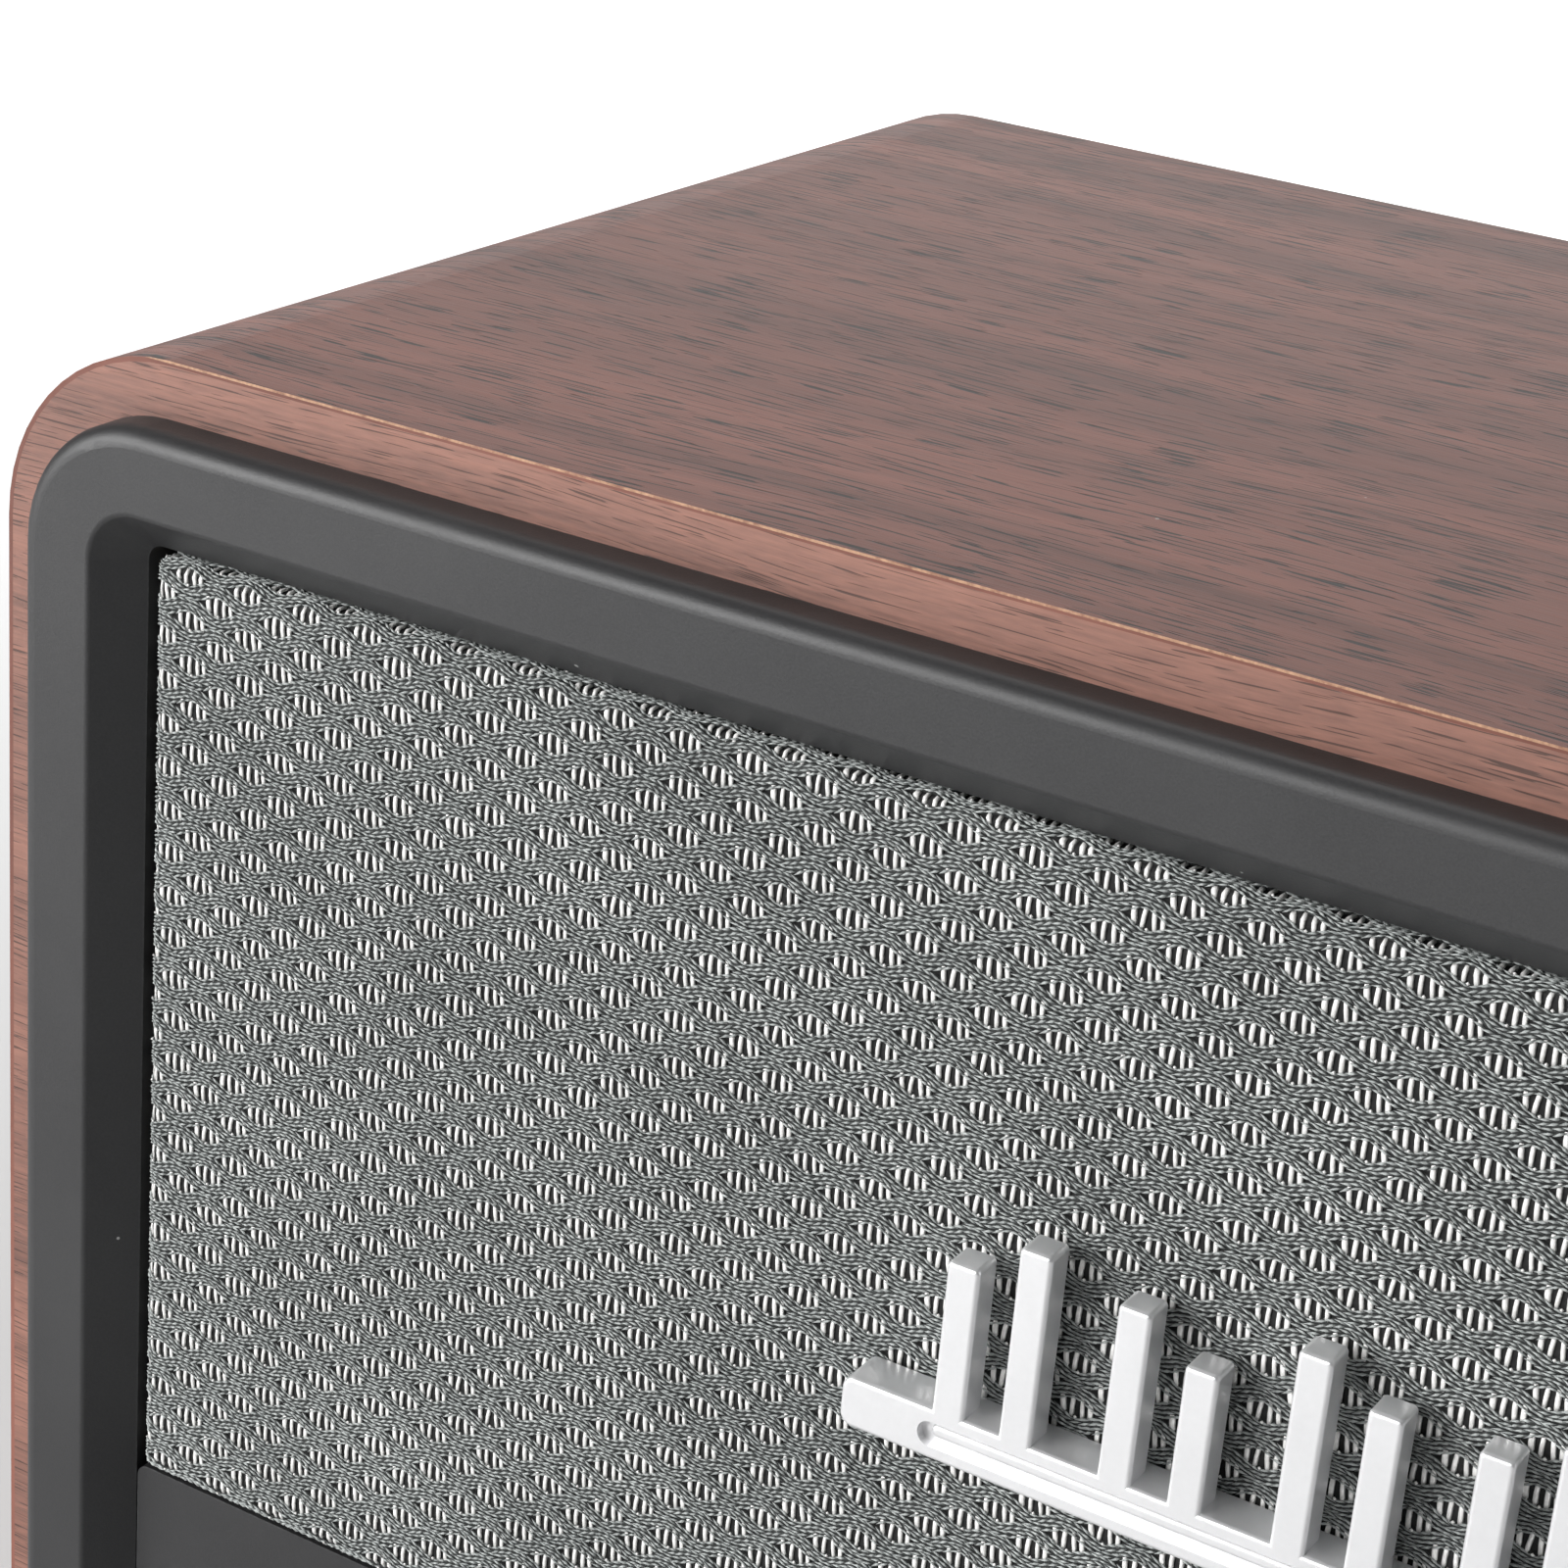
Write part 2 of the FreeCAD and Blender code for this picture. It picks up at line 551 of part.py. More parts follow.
def make_speaker(label, side):
    x = side + "speaker_apart / 2"
    z = grille_centre
    face = "( %s - flange_thick )" % board_front

    def disc(name, radius, start, long):
        return rod(label + name, radius, long, (x, face + " + " + start, z))

    def funnel(name, near, far, start, long):
        return cone(label + name, near, far, long, (x, face + " + " + start, z))

    outside = fused(label + "_basket_skin", [
        disc("_flange", "flange_radius", "0", "flange_thick"),
        disc("_collar", "basket_radius", "flange_thick", "6"),
        funnel("_taper", "basket_radius", "18", "8", "16")])
    hollow = fused(label + "_basket_hollow", [
        disc("_mouth", "basket_radius - basket_wall", "0 - 1", "9"),
        funnel("_throat", "basket_radius - basket_wall", "16.5", "8", "14.5"),
        disc("_coil_hole", "magnet_hole", "20", "6")])
    keep(cut(label + "_basket", outside, hollow), label + "_basket")
    magnet = cut(label + "_magnet_turned",
                 disc("_magnet_block", "magnet_radius", "magnet_start",
                      "driver_deep - magnet_start"),
                 cut(label + "_gap", disc("_gap_outer", "magnet_hole", "magnet_start - 1", "9"),
                     disc("_pole", "pole_radius", "magnet_start - 2", "12")))
    shell = cut(label + "_cone_shell",
                funnel("_cone_outer", "cone_radius", "9", "1.6", "12"),
                funnel("_cone_inner", "cone_radius - cone_thick", "8.4", "1.5", "12.15"))
    former = cut(label + "_former", disc("_former_outer", "coil_radius", "13.4", "16"),
                 disc("_former_inner", "coil_radius - 0.6", "13", "18"))
    ball = doc.addObject("Part::Sphere", label + "_cap_ball")
    bind(ball, Radius="11")
    place(ball, x, face + " + 17.5", z)
    dome = doc.addObject("Part::Common", label + "_cap_dome")
    dome.Base = ball
    dome.Tool = disc("_cap_slice", "9.9", "5", "7.6")
    keep(fused(label + "_cone", [shell, former, dome]), label + "_cone")
    middle_radius = "( cone_radius + basket_radius - 0.9 ) / 2"
    roll_radius = "( basket_radius - 1.6 - cone_radius ) / 2"
    rolls = []
    for name, radius in (("_roll", roll_radius), ("_roll_inner", roll_radius + " - 0.6")):
        roll = doc.addObject("Part::Torus", label + name)
        bind(roll, Radius1=middle_radius, Radius2=radius)
        rolls.append(place(roll, x, face + " + 1.8", z, turn=along_y))
    half = doc.addObject("Part::Common", label + "_roll_half")
    half.Base = rolls[0]
    half.Tool = disc("_roll_front", "basket_radius + 5", "0 - 3", "4.8")
    return magnet, cut(label + "_surround_half", half, rolls[1])


def pair_up(label, items):
    item = doc.addObject("Part::Compound", label)
    item.Links = items
    keep(item, label)


def make_speakers():
    left_magnet, left_surround = make_speaker("left", "0 - ")
    right_magnet, right_surround = make_speaker("right", "")
    pair_up("speaker_magnets", [left_magnet, right_magnet])
    pair_up("cone_surrounds", [left_surround, right_surround])


def make_driver_screws():
    screws = []
    reach = measure("flange_radius - 3")
    for side in (-1, 1):
        for quarter in range(4):
            turn = math.radians(45 + 90 * quarter)
            seat = Vector(side * measure("speaker_apart / 2") + reach * math.cos(turn),
                          measure(board_front + " - flange_thick"),
                          measure(grille_centre) + reach * math.sin(turn))
            screws.append(screw(seat, Vector(0, -1, 0), 2.6, 1.3, 9, 1.4))
    group("driver_screws", screws)


# ---- boards inside the cabinet -------------------------------------------------------

floor = "( foot_high + veneer + core_wall )"
board_level = "( %s + main_lift )" % floor


def make_electronics():
    keep(block("main_board", ("0 - main_wide / 2", "0 - 32", board_level),
               ("main_wide", "main_deep", "circuit_thick")), "main_board")
    level = measure(board_level)
    ground = measure(floor)
    spots = [(x, y) for x in (-89, 89) for y in (-26, 46)]
    group("board_standoffs", [Part.makeCylinder(3.2, level - ground, Vector(x, y, ground))
                              for x, y in spots])
    deck = board_level + " + circuit_thick"
    comb = [block("sink_base", ("0 - 70", "36", deck), ("sink_long", "4", "sink_high"))]
    for number in range(9):
        comb.append(block("sink_fin_%d" % number, ("%.2f" % (-70 + 7.75 * number), "40", deck),
                          ("2", "11", "sink_high")))
    keep(fused("heat_sink", comb), "heat_sink")
    can = block("tuner_can", ("22", "0 - 6", deck), ("34", "26", "6.5"))
    keep(can, "tuner_module")
    high = measure(deck)
    group("filter_capacitors", [Part.makeCylinder(6.5, 22, Vector(x, -8, high))
                                for x in (-72, -56)])
    pair_up("board_connectors", [
        block("main_connector", ("0 - 13", "0 - 28", deck), ("26", "6", "7")),
        block("front_connector", ("0 - 13", circuit_front + " + circuit_thick",
                                  panel_centre + " - 14"), ("26", "6", "6"))])
    make_ribbon()


def make_ribbon():
    # flat cable: straight back from the front board, one quarter bend, straight down
    thick, bend, wide = (measure("ribbon_" + name) for name in ("thick", "bend", "wide"))
    start = measure(circuit_front + " + circuit_thick + 6")
    height = measure(panel_centre + " - 11")
    down = -25
    foot = measure(board_level + " + circuit_thick + 7")

    def side(offset):
        r = bend + offset
        centre = Vector(0, down - bend, height - bend)
        arc = Part.Arc(centre + Vector(0, 0, r),
                       centre + Vector(0, r * math.sin(math.pi / 4), r * math.cos(math.pi / 4)),
                       centre + Vector(0, r, 0)).toShape()
        return centre, r, arc

    centre, outer, outer_arc = side(thick / 2)
    centre, inner, inner_arc = side(-thick / 2)
    corners = [Vector(0, start, centre.z + outer), Vector(0, centre.y, centre.z + outer),
               Vector(0, centre.y + outer, centre.z), Vector(0, centre.y + outer, foot),
               Vector(0, centre.y + inner, foot), Vector(0, centre.y + inner, centre.z),
               Vector(0, centre.y, centre.z + inner), Vector(0, start, centre.z + inner)]

    def run(a, b):
        return Part.LineSegment(corners[a], corners[b]).toShape()

    outline = Part.Wire([run(0, 1), outer_arc, run(2, 3), run(3, 4), run(4, 5), inner_arc,
                         run(6, 7), run(7, 0)])
    strip = Part.Face(outline).extrude(Vector(wide, 0, 0))
    strip.translate(Vector(-wide / 2, 0, 0))
    group("ribbon_cable", [strip])


# ---- rear panel ----------------------------------------------------------------------

rear_face = "( cabinet_deep / 2 - rear_inset )"
plate_face = "( %s + plate_thick )" % rear_face
rocker_x, inlet_x, aux_x, phones_x = "0 - 14", "0 - 46", "20", "44"


def make_rear():
    panel = plate_body("rear_panel", board_outline, "rear_thick", rear_face + " - rear_thick")
    rise = "plate_centre - ( %s )" % middle
    add_holes(panel, "terminal_hole", slots=[
        ("plate_wide - 14", "plate_high - 14", "3", "0", rise)])
    add_holes(panel, "aerial_bolt_hole", circles=[
        ("3.2", "aerial_side", "aerial_rise - ( %s )" % middle)])
    plate = plate_body("terminal_plate", ("plate_wide", "plate_high", "4"), "plate_thick",
                       rear_face, "plate_centre")
    round_edges(plate, "0.8", in_plane_y(measure("plate_thick")), "plate_edge_round")
    add_holes(plate, "rocker_hole", slots=[("19.2", "13.2", "0.8", rocker_x, "0")])
    add_holes(plate, "jack_holes", circles=[("4.2", aux_x, "0"), ("4.2", phones_x, "0"),
                                            ("5.7", inlet_x, "0")])
    half_wide, half_high = measure(inner_wide) / 2, measure(inner_high) / 2
    level, centre = measure(rear_face), measure(middle)
    side, deep = measure("block_side"), measure("block_deep")
    lining = rounded_slab(2 * half_wide, 2 * half_high, deep, measure(inner_corner),
                          Vector(0, level - measure("rear_thick") - deep, centre))
    blocks = []
    for x in (-1, 1):
        for z in (-1, 1):
            spot = Vector(x * (half_wide - side / 2) - side / 2, lining.BoundBox.YMin,
                          centre + z * (half_high - side / 2) - side / 2)
            blocks.append(Part.makeBox(side, deep, side, spot).common(lining))
    group("corner_blocks", blocks)
    seats = [(x * (half_wide - 8), z * (half_high - 8)) for x in (-1, 1) for z in (-1, 1)]
    group("rear_screws", [screw(Vector(x, level, centre + z), Vector(0, 1, 0), 3.4, 1.5, 18)
                          for x, z in seats])
    plate_half, plate_rise = measure("plate_wide / 2 - 4"), measure("plate_high / 2 - 4")
    low = measure("plate_centre")
    group("plate_screws", [screw(Vector(x * plate_half, measure(plate_face), low + z * plate_rise),
                                 Vector(0, 1, 0), 2.6, 1.2, 7, 1.4)
                           for x in (-1, 1) for z in (-1, 1)])


def make_sockets():
    z = "plate_centre"
    for label, x in (("aux_jack", aux_x), ("headphone_jack", phones_x)):
        skin = fused(label + "_skin", [
            block(label + "_case", (x + " - 6", rear_face + " - jack_deep", z + " - 5"),
                  ("12", "jack_deep", "10")),
            rod(label + "_nose", "jack_nose", "plate_thick + 0.6", (x, rear_face, z))])
        keep(cut(label, skin, rod(label + "_bore", "jack_radius", "plate_thick + jack_deep",
                                  (x, rear_face + " - jack_deep + 1.5", z))), label)
    skin = fused("inlet_skin", [
        block("inlet_case", (inlet_x + " - inlet_side / 2", rear_face + " - inlet_side",
                             z + " - inlet_side / 2"), ("inlet_side", "inlet_side", "inlet_side")),
        rod("inlet_nose", "inlet_nose", "plate_thick + 0.4", (inlet_x, rear_face, z))])
    pin = rod("inlet_pin", "inlet_pin_radius", "13.5", (inlet_x, rear_face + " - 13", z))
    hollow = rod("inlet_hollow", "inlet_radius", "20", (inlet_x, rear_face + " - 11", z))
    keep(cut("dc_inlet", skin, cut("inlet_gap", hollow, pin)), "dc_inlet")
    case = fused("rocker_case", [
        block("rocker_flange", (rocker_x + " - 10.5", plate_face, z + " - 7.5"),
              ("21", "1.4", "15")),
        block("rocker_box", (rocker_x + " - 9.5", rear_face + " - 12", z + " - 6.5"),
              ("19", "12 + plate_thick", "13"))])
    well = block("rocker_well", (rocker_x + " - 8.2", rear_face + " - 7", z + " - 5.2"),
                 ("16.4", "20", "10.4"))
    pivot_holes = rod("rocker_pivot_holes", "rocker_pivot + running_gap", "12.4",
                      (rocker_x, plate_face, z + " - 6.2"), turn=upwards)
    keep(cut("rocker_frame", case, well, pivot_holes), "rocker_frame")


def make_rocker():
    # the rocker's face is a shallow V about its two pivot stubs; it rests with one end pressed
    body = new_body("power_rocker")
    sketch = new_sketch(body, "XY_Plane", "rocker_outline", "0 - rocker_high / 2")
    lean_degrees = 8
    lean = math.radians(lean_degrees)
    half, deep, crest = measure("rocker_long / 2"), 5, 1.2
    points = [(-half, crest + half * math.tan(lean)), (-half * 0.72, -deep),
              (half * 0.72, -deep), (half, crest + half * math.tan(lean)), (0, crest)]
    draw_polygon(sketch, points)
    pad(body, sketch, "rocker_high", backwards=False)
    stubs = new_sketch(body, "XY_Plane", "rocker_stubs", "0 - rocker_high / 2 - 1.1")
    draw_circle(stubs, "rocker_pivot")
    pad(body, stubs, "rocker_high + 2.2", backwards=False)
    turn = FreeCAD.Rotation(Vector(0, 0, 1), lean_degrees)
    place(body, x=rocker_x, y=plate_face, z="plate_centre", turn=turn)


def make_feet():
    feet, screws = [], []
    high, radius = measure("foot_high"), measure("foot_radius")
    for x in (-1, 1):
        for y in (-1, 1):
            spot = Vector(x * (measure("cabinet_wide") / 2 - measure("foot_inset")),
                          y * (measure("cabinet_deep") / 2 - measure("foot_inset")), 0)
            foot = Part.makeCone(radius - 1.2, radius, high, spot)
            foot = foot.cut(Part.makeCylinder(4, 3.5, spot))
            foot = foot.cut(Part.makeCylinder(1.6, high, spot))
            feet.append(foot)
            screws.append(screw(spot + Vector(0, 0, 3.5), Vector(0, 0, -1), 3.3, 1.5, 12))
    group("rubber_feet", feet)
    group("foot_screws", screws)


# ---- aerial --------------------------------------------------------------------------

def make_aerial():
    x, z = "aerial_side", "aerial_rise"
    axis = "( %s + 3 + aerial_axis )" % rear_face
    keep(fused("aerial_mount", [
        rod("aerial_boss", "9", "3", (x, rear_face, z)),
        rod("aerial_bolt", "3.1", "rear_thick + 4", (x, rear_face + " - rear_thick - 4", z)),
        rod("aerial_bolt_nut", "5.5", "3", (x, rear_face + " - rear_thick - 3", z))]),
        "aerial_mount")
    ears = []
    for number, low in enumerate(("3.2", "0 - 5.4")):
        ears.append(fused("ear_%d" % number, [
            rod("ear_round_%d" % number, "ear_radius", "ear_thick",
                (x + " + " + low, axis, z), turn=along_x),
            block("ear_web_%d" % number, (x + " + " + low, rear_face + " + 3.4",
                                          z + " - ear_radius"),
                  ("ear_thick", "aerial_axis - 0.4", "2 * ear_radius"))]))
    base = rod("swivel_disc", "8.2", "2.4", (x, rear_face + " + 3.1", z))
    keep(cut("aerial_swivel", fused("swivel_skin", [base] + ears),
             rod("swivel_pin_hole", "aerial_pin_radius", "30", (x + " - 15", axis, z),
                 turn=along_x)),
         "aerial_swivel")
    keep(rod("aerial_pin", "aerial_pin_radius", "10.8", (x + " - 5.4", axis, z), turn=along_x),
         "aerial_pin")
    tongue = fused("tongue_skin", [
        rod("tongue_round", "4.8", "5.8", (x + " - 2.9", axis, z), turn=along_x),
        block("tongue_web", (x + " - 2.9", axis + " - 2.6", z + " - 9"), ("5.8", "5.2", "9")),
        rod("tongue_collar", "3.9", "5", (x, axis, z + " - 8"), turn=downwards)])
    keep(cut("aerial_knuckle", tongue,
             rod("tongue_bore", "aerial_pin_radius + running_gap", "30",
                 (x + " - 15", axis, z), turn=along_x)), "aerial_knuckle")
    start = z + " - 13"
    reach = "( aerial_reach - 13 )"
    radii = [("3.5", "3.1"), ("3.05", "2.6"), ("2.55", "2.1"), ("2.05", None)]
    for number, (outer, inner) in enumerate(radii):
        lead = "%d * 1.6" % number
        top = "%s - %d * section_step" % (start, number)
        body = rod("section_skin_%d" % number, outer,
                   "%s + %s - %d * section_step" % (reach, lead, number), (x, axis, top),
                   turn=downwards)
        if inner:
            body = cut("section_bored_%d" % number, body,
                       rod("section_bore_%d" % number, inner, "300",
                           (x, axis, top + " - 1.5"), turn=downwards))
        else:
            tip = rod("aerial_tip", "3.5", "4",
                      (x, axis, start + " - %s - %s" % (reach, lead)), turn=downwards)
            body = fused("section_tipped", [body, tip])
        keep(body, "aerial_tube" if number == 0 else "aerial_rod_%d" % number)


# ---- build, check and write ----------------------------------------------------------

def build():
    fill_sheet()
    make_cabinet()
    make_bezel()
    make_grille()
    make_badge()
    make_panel()
    make_buttons()
    for label, side in (("volume", "0 - "), ("tuning", "")):
        make_knob(label, side)
    make_bushing_nuts()
    make_baffle()
    make_speakers()
    make_driver_screws()
    make_electronics()
    make_rear()
    make_sockets()
    make_rocker()
    make_feet()
    make_aerial()


def write_parts():
    doc.recompute()
    for item in doc.Objects:
        if "Invalid" in item.State or "Error" in item.State:
            raise RuntimeError(item.Label + " failed: " + str(item.State))
    for item in sub_parts:
        if item.Shape.isNull() or not item.Shape.isValid() or not item.Shape.Solids:
            raise RuntimeError(item.Label + " is not a valid solid")
    os.makedirs("parts", exist_ok=True)
    for item in sub_parts:
        item.Shape.exportStep("parts/" + item.Label + ".step")
        print(item.Label, len(item.Shape.Solids), round(item.Shape.Volume, 1))


build()
write_parts()
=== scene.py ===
import math

import bpy
import numpy as np
from mathutils import Matrix, Vector


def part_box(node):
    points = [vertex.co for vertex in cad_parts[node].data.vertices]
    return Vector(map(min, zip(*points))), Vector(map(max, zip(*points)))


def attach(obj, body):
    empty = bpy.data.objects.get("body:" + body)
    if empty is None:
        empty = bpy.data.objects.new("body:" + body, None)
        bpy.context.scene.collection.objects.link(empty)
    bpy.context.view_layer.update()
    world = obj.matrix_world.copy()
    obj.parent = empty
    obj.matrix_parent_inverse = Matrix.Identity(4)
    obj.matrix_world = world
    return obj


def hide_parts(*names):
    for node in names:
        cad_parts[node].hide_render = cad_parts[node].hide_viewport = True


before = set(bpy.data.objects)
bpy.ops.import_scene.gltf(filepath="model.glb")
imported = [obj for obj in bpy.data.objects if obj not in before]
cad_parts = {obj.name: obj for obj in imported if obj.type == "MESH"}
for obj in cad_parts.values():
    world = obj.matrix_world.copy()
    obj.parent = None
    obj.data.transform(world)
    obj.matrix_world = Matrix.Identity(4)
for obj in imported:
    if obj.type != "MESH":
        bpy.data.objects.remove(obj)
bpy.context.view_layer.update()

print("frame loaded")

# Metres, in the radio's own frame: +X to the listener's right, +Y to the back, +Z up.
mm = 0.001


# Helpers for node trees

def feed(made, values):
    for key, value in values.items():
        socket = made.inputs[key]
        if isinstance(value, bpy.types.NodeSocket):
            made.id_data.links.new(value, socket)
        elif value is not None:
            socket.default_value = value
    return made


def step(tree, kind, *inputs, **settings):
    made = tree.nodes.new("ShaderNode" + kind)
    for name, value in settings.items():
        setattr(made, name, value)
    return feed(made, dict(enumerate(inputs)))


def calc(tree, operation, *inputs, clamp=False):
    return step(tree, "Math", *inputs, operation=operation, use_clamp=clamp).outputs[0]


def stretch(tree, vector, factors):
    return step(tree, "VectorMath", vector, factors, operation="MULTIPLY").outputs[0]


def noise(tree, vector, scale=1.0, detail=2.0, rough=0.5, distort=0.0):
    made = step(tree, "TexNoise")
    feed(made, {"Vector": vector, "Scale": scale, "Detail": detail, "Roughness": rough,
                "Distortion": distort})
    return made.outputs["Fac"]


def window(tree, value, low, high, toLow=0.0, toHigh=1.0):
    return step(tree, "MapRange", value, low, high, toLow, toHigh).outputs[0]


def paint(tree, amount, first, second, kind="MIX"):
    made = step(tree, "Mix", data_type="RGBA", blend_type=kind)
    return feed(made, {0: amount, 6: first, 7: second}).outputs[2]


def rgb(red, green, blue):
    return (red, green, blue, 1.0)


def startGroup(name, inputs, outputs):
    tree = bpy.data.node_groups.new(name, "ShaderNodeTree")
    for label, value in inputs.items():
        kind = "NodeSocketVector" if isinstance(value, tuple) else "NodeSocketFloat"
        socket = tree.interface.new_socket(label, in_out="INPUT", socket_type=kind)
        socket.default_value = value
    for label, kind in outputs.items():
        tree.interface.new_socket(label, in_out="OUTPUT", socket_type="NodeSocket" + kind)
    return tree, tree.nodes.new("NodeGroupInput").outputs, tree.nodes.new("NodeGroupOutput")


def useGroup(tree, group, **values):
    made = tree.nodes.new("ShaderNodeGroup")
    made.node_tree = group
    return feed(made, values).outputs


def startMaterial(name, **sockets):
    material = bpy.data.materials.new(name)
    material.use_nodes = True
    tree = material.node_tree
    shader = tree.nodes["Principled BSDF"]
    feed(shader, {key.replace("_", " "): value for key, value in sockets.items()})
    return material, tree, shader, step(tree, "TexCoord").outputs["Object"]


def addRelief(tree, shader, height, distance, strength=1.0):
    made = feed(step(tree, "Bump"), {"Height": height, "Distance": distance, "Strength": strength})
    feed(shader, {"Normal": made.outputs[0]})


# Effects that several materials share

def makeDust():
    # sparse specks; Amount is the share of cells that hold one
    tree, given, out = startGroup("settledDust", {"Place": (0.0, 0.0, 0.0), "Cells": 400.0,
                                                  "Amount": 0.1, "Size": 0.12}, {"Mask": "Float"})
    cells = feed(step(tree, "TexVoronoi"), {"Vector": given["Place"], "Scale": given["Cells"]})
    chance, size, _ = step(tree, "SeparateColor", cells.outputs["Color"]).outputs
    held = calc(tree, "LESS_THAN", chance, given["Amount"])
    reach = calc(tree, "MULTIPLY", given["Size"], calc(tree, "ADD", size, 0.35))
    spot = calc(tree, "LESS_THAN", cells.outputs["Distance"], reach)
    feed(out, {"Mask": calc(tree, "MULTIPLY", held, spot)})
    return tree


def makeMouldGrain():
    # the fine matt texture of moulded plastic, with a slow unevenness of tone
    tree, given, out = startGroup("mouldGrain", {"Place": (0.0, 0.0, 0.0), "Scale": 3500.0},
                                  {"Height": "Float", "Tone": "Float"})
    fine = noise(tree, given["Place"], given["Scale"], 3.0, 0.6)
    slow = noise(tree, given["Place"], 45.0, 3.0, 0.55)
    tone = calc(tree, "ADD", calc(tree, "MULTIPLY", fine, 0.55), calc(tree, "MULTIPLY", slow, 0.45))
    feed(out, {"Height": fine, "Tone": tone})
    return tree


def makeEdgeWear():
    # rubbed edges: where a rounded normal leaves the true one, broken up by noise
    tree, given, out = startGroup("edgeWear", {"Place": (0.0, 0.0, 0.0), "Width": 0.0006,
                                               "Breaks": 900.0}, {"Mask": "Float"})
    soft = feed(step(tree, "Bevel", samples=4), {"Radius": given["Width"]}).outputs[0]
    true = step(tree, "NewGeometry").outputs["Normal"]
    same = step(tree, "VectorMath", soft, true, operation="DOT_PRODUCT").outputs["Value"]
    edge = window(tree, same, 0.995, 0.86)
    broken = window(tree, noise(tree, given["Place"], given["Breaks"], 3.0, 0.6), 0.42, 0.62)
    feed(out, {"Mask": calc(tree, "MULTIPLY", edge, broken)})
    return tree


def makeWoodGrain():
    # Flow runs along the grain in x; the outputs are masks for tone, fibres, pores and rays
    tree, given, out = startGroup("woodGrain", {"Flow": (0.0, 0.0, 0.0), "Pores": 0.63,
                                                "PoreFine": 3400.0},
                                  {"Band": "Float", "Fibre": "Float", "Pore": "Float",
                                   "Ray": "Float"})
    flow = given["Flow"]
    sway = noise(tree, stretch(tree, flow, (9.0, 30.0, 30.0)), 1.0, 2.0)
    shift = step(tree, "CombineXYZ", 0.0, calc(tree, "MULTIPLY", sway, 0.010), 0.0).outputs[0]
    bent = step(tree, "VectorMath", flow, shift, operation="ADD").outputs[0]
    band = noise(tree, stretch(tree, bent, (4.0, 120.0, 120.0)), 1.0, 4.0, 0.6)
    fibre = noise(tree, stretch(tree, bent, (60.0, 2600.0, 2600.0)), 1.0, 4.0, 0.65)
    fine = given["PoreFine"]
    stretched = step(tree, "CombineXYZ", 115.0, fine, fine).outputs[0]
    porous = noise(tree, stretch(tree, bent, stretched), 1.0, 1.0, 0.5)
    crowd = noise(tree, stretch(tree, bent, (12.0, 160.0, 160.0)), 1.0, 2.0)
    level = calc(tree, "SUBTRACT", given["Pores"],
                 calc(tree, "MULTIPLY", calc(tree, "SUBTRACT", crowd, 0.5), 0.16))
    pore = window(tree, calc(tree, "SUBTRACT", porous, level), 0.0, 0.02)
    ray = noise(tree, stretch(tree, flow, (260.0, 1500.0, 1500.0)), 1.0, 3.0, 0.6)
    feed(out, {"Band": window(tree, band, 0.3, 0.7), "Fibre": window(tree, fibre, 0.28, 0.72),
               "Pore": pore, "Ray": window(tree, ray, 0.3, 0.7)})
    return tree


def makeWrapFlow(half, corner, centre):
    # unrolls the veneer's wrap: x becomes the length round the cabinet from the top's middle
    tree, given, out = startGroup("wrapFlow", {"Place": (0.0, 0.0, 0.0)}, {"Flow": "Vector"})
    x, y, z = step(tree, "SeparateXYZ", given["Place"]).outputs
    flatWide, flatHigh = half[0] - corner, half[1] - corner
    across = calc(tree, "ABSOLUTE", x)
    upright = calc(tree, "ABSOLUTE", calc(tree, "SUBTRACT", z, centre))
    pastSide = calc(tree, "MAXIMUM", calc(tree, "SUBTRACT", across, flatWide), 0.0)
    pastTop = calc(tree, "MAXIMUM", calc(tree, "SUBTRACT", upright, flatHigh), 1e-6)
    turn = calc(tree, "MULTIPLY", calc(tree, "ARCTAN2", pastSide, pastTop), corner)
    down = calc(tree, "SUBTRACT", flatHigh, calc(tree, "MINIMUM", upright, flatHigh))
    level = calc(tree, "MINIMUM", across, flatWide)
    along = calc(tree, "ADD", calc(tree, "ADD", level, turn), down)
    signed = calc(tree, "MULTIPLY", along, calc(tree, "SIGN", x))
    lower = calc(tree, "MULTIPLY", calc(tree, "LESS_THAN", z, centre), 0.7)
    feed(out, {"Flow": step(tree, "CombineXYZ", signed, y, lower).outputs[0]})
    return tree


def makeTurnedLines():
    # the fine rings that a cutting tool leaves; Radius is measured from the turning axis
    tree, given, out = startGroup("turnedLines", {"Radius": 0.0, "Pitch": 9000.0},
                                  {"Height": "Float"})
    turns = calc(tree, "MULTIPLY", given["Radius"], given["Pitch"])
    line = step(tree, "CombineXYZ", turns).outputs[0]
    feed(out, {"Height": noise(tree, line, 1.0, 3.0, 0.7)})
    return tree


def makeYarnFibre():
    # loose twist and tone of spun yarn, finer than one stitch
    tree, given, out = startGroup("yarnFibre", {"Place": (0.0, 0.0, 0.0)},
                                  {"Tone": "Float", "Height": "Float"})
    stitch = noise(tree, given["Place"], 1700.0, 1.0)
    hair = noise(tree, stretch(tree, given["Place"], (3500.0, 3500.0, 12000.0)), 1.0, 2.0)
    slow = noise(tree, given["Place"], 60.0, 2.0)
    tone = calc(tree, "ADD", calc(tree, "MULTIPLY", stitch, 0.7), calc(tree, "MULTIPLY", slow, 0.3))
    feed(out, {"Tone": window(tree, tone, 0.3, 0.7), "Height": hair})
    return tree


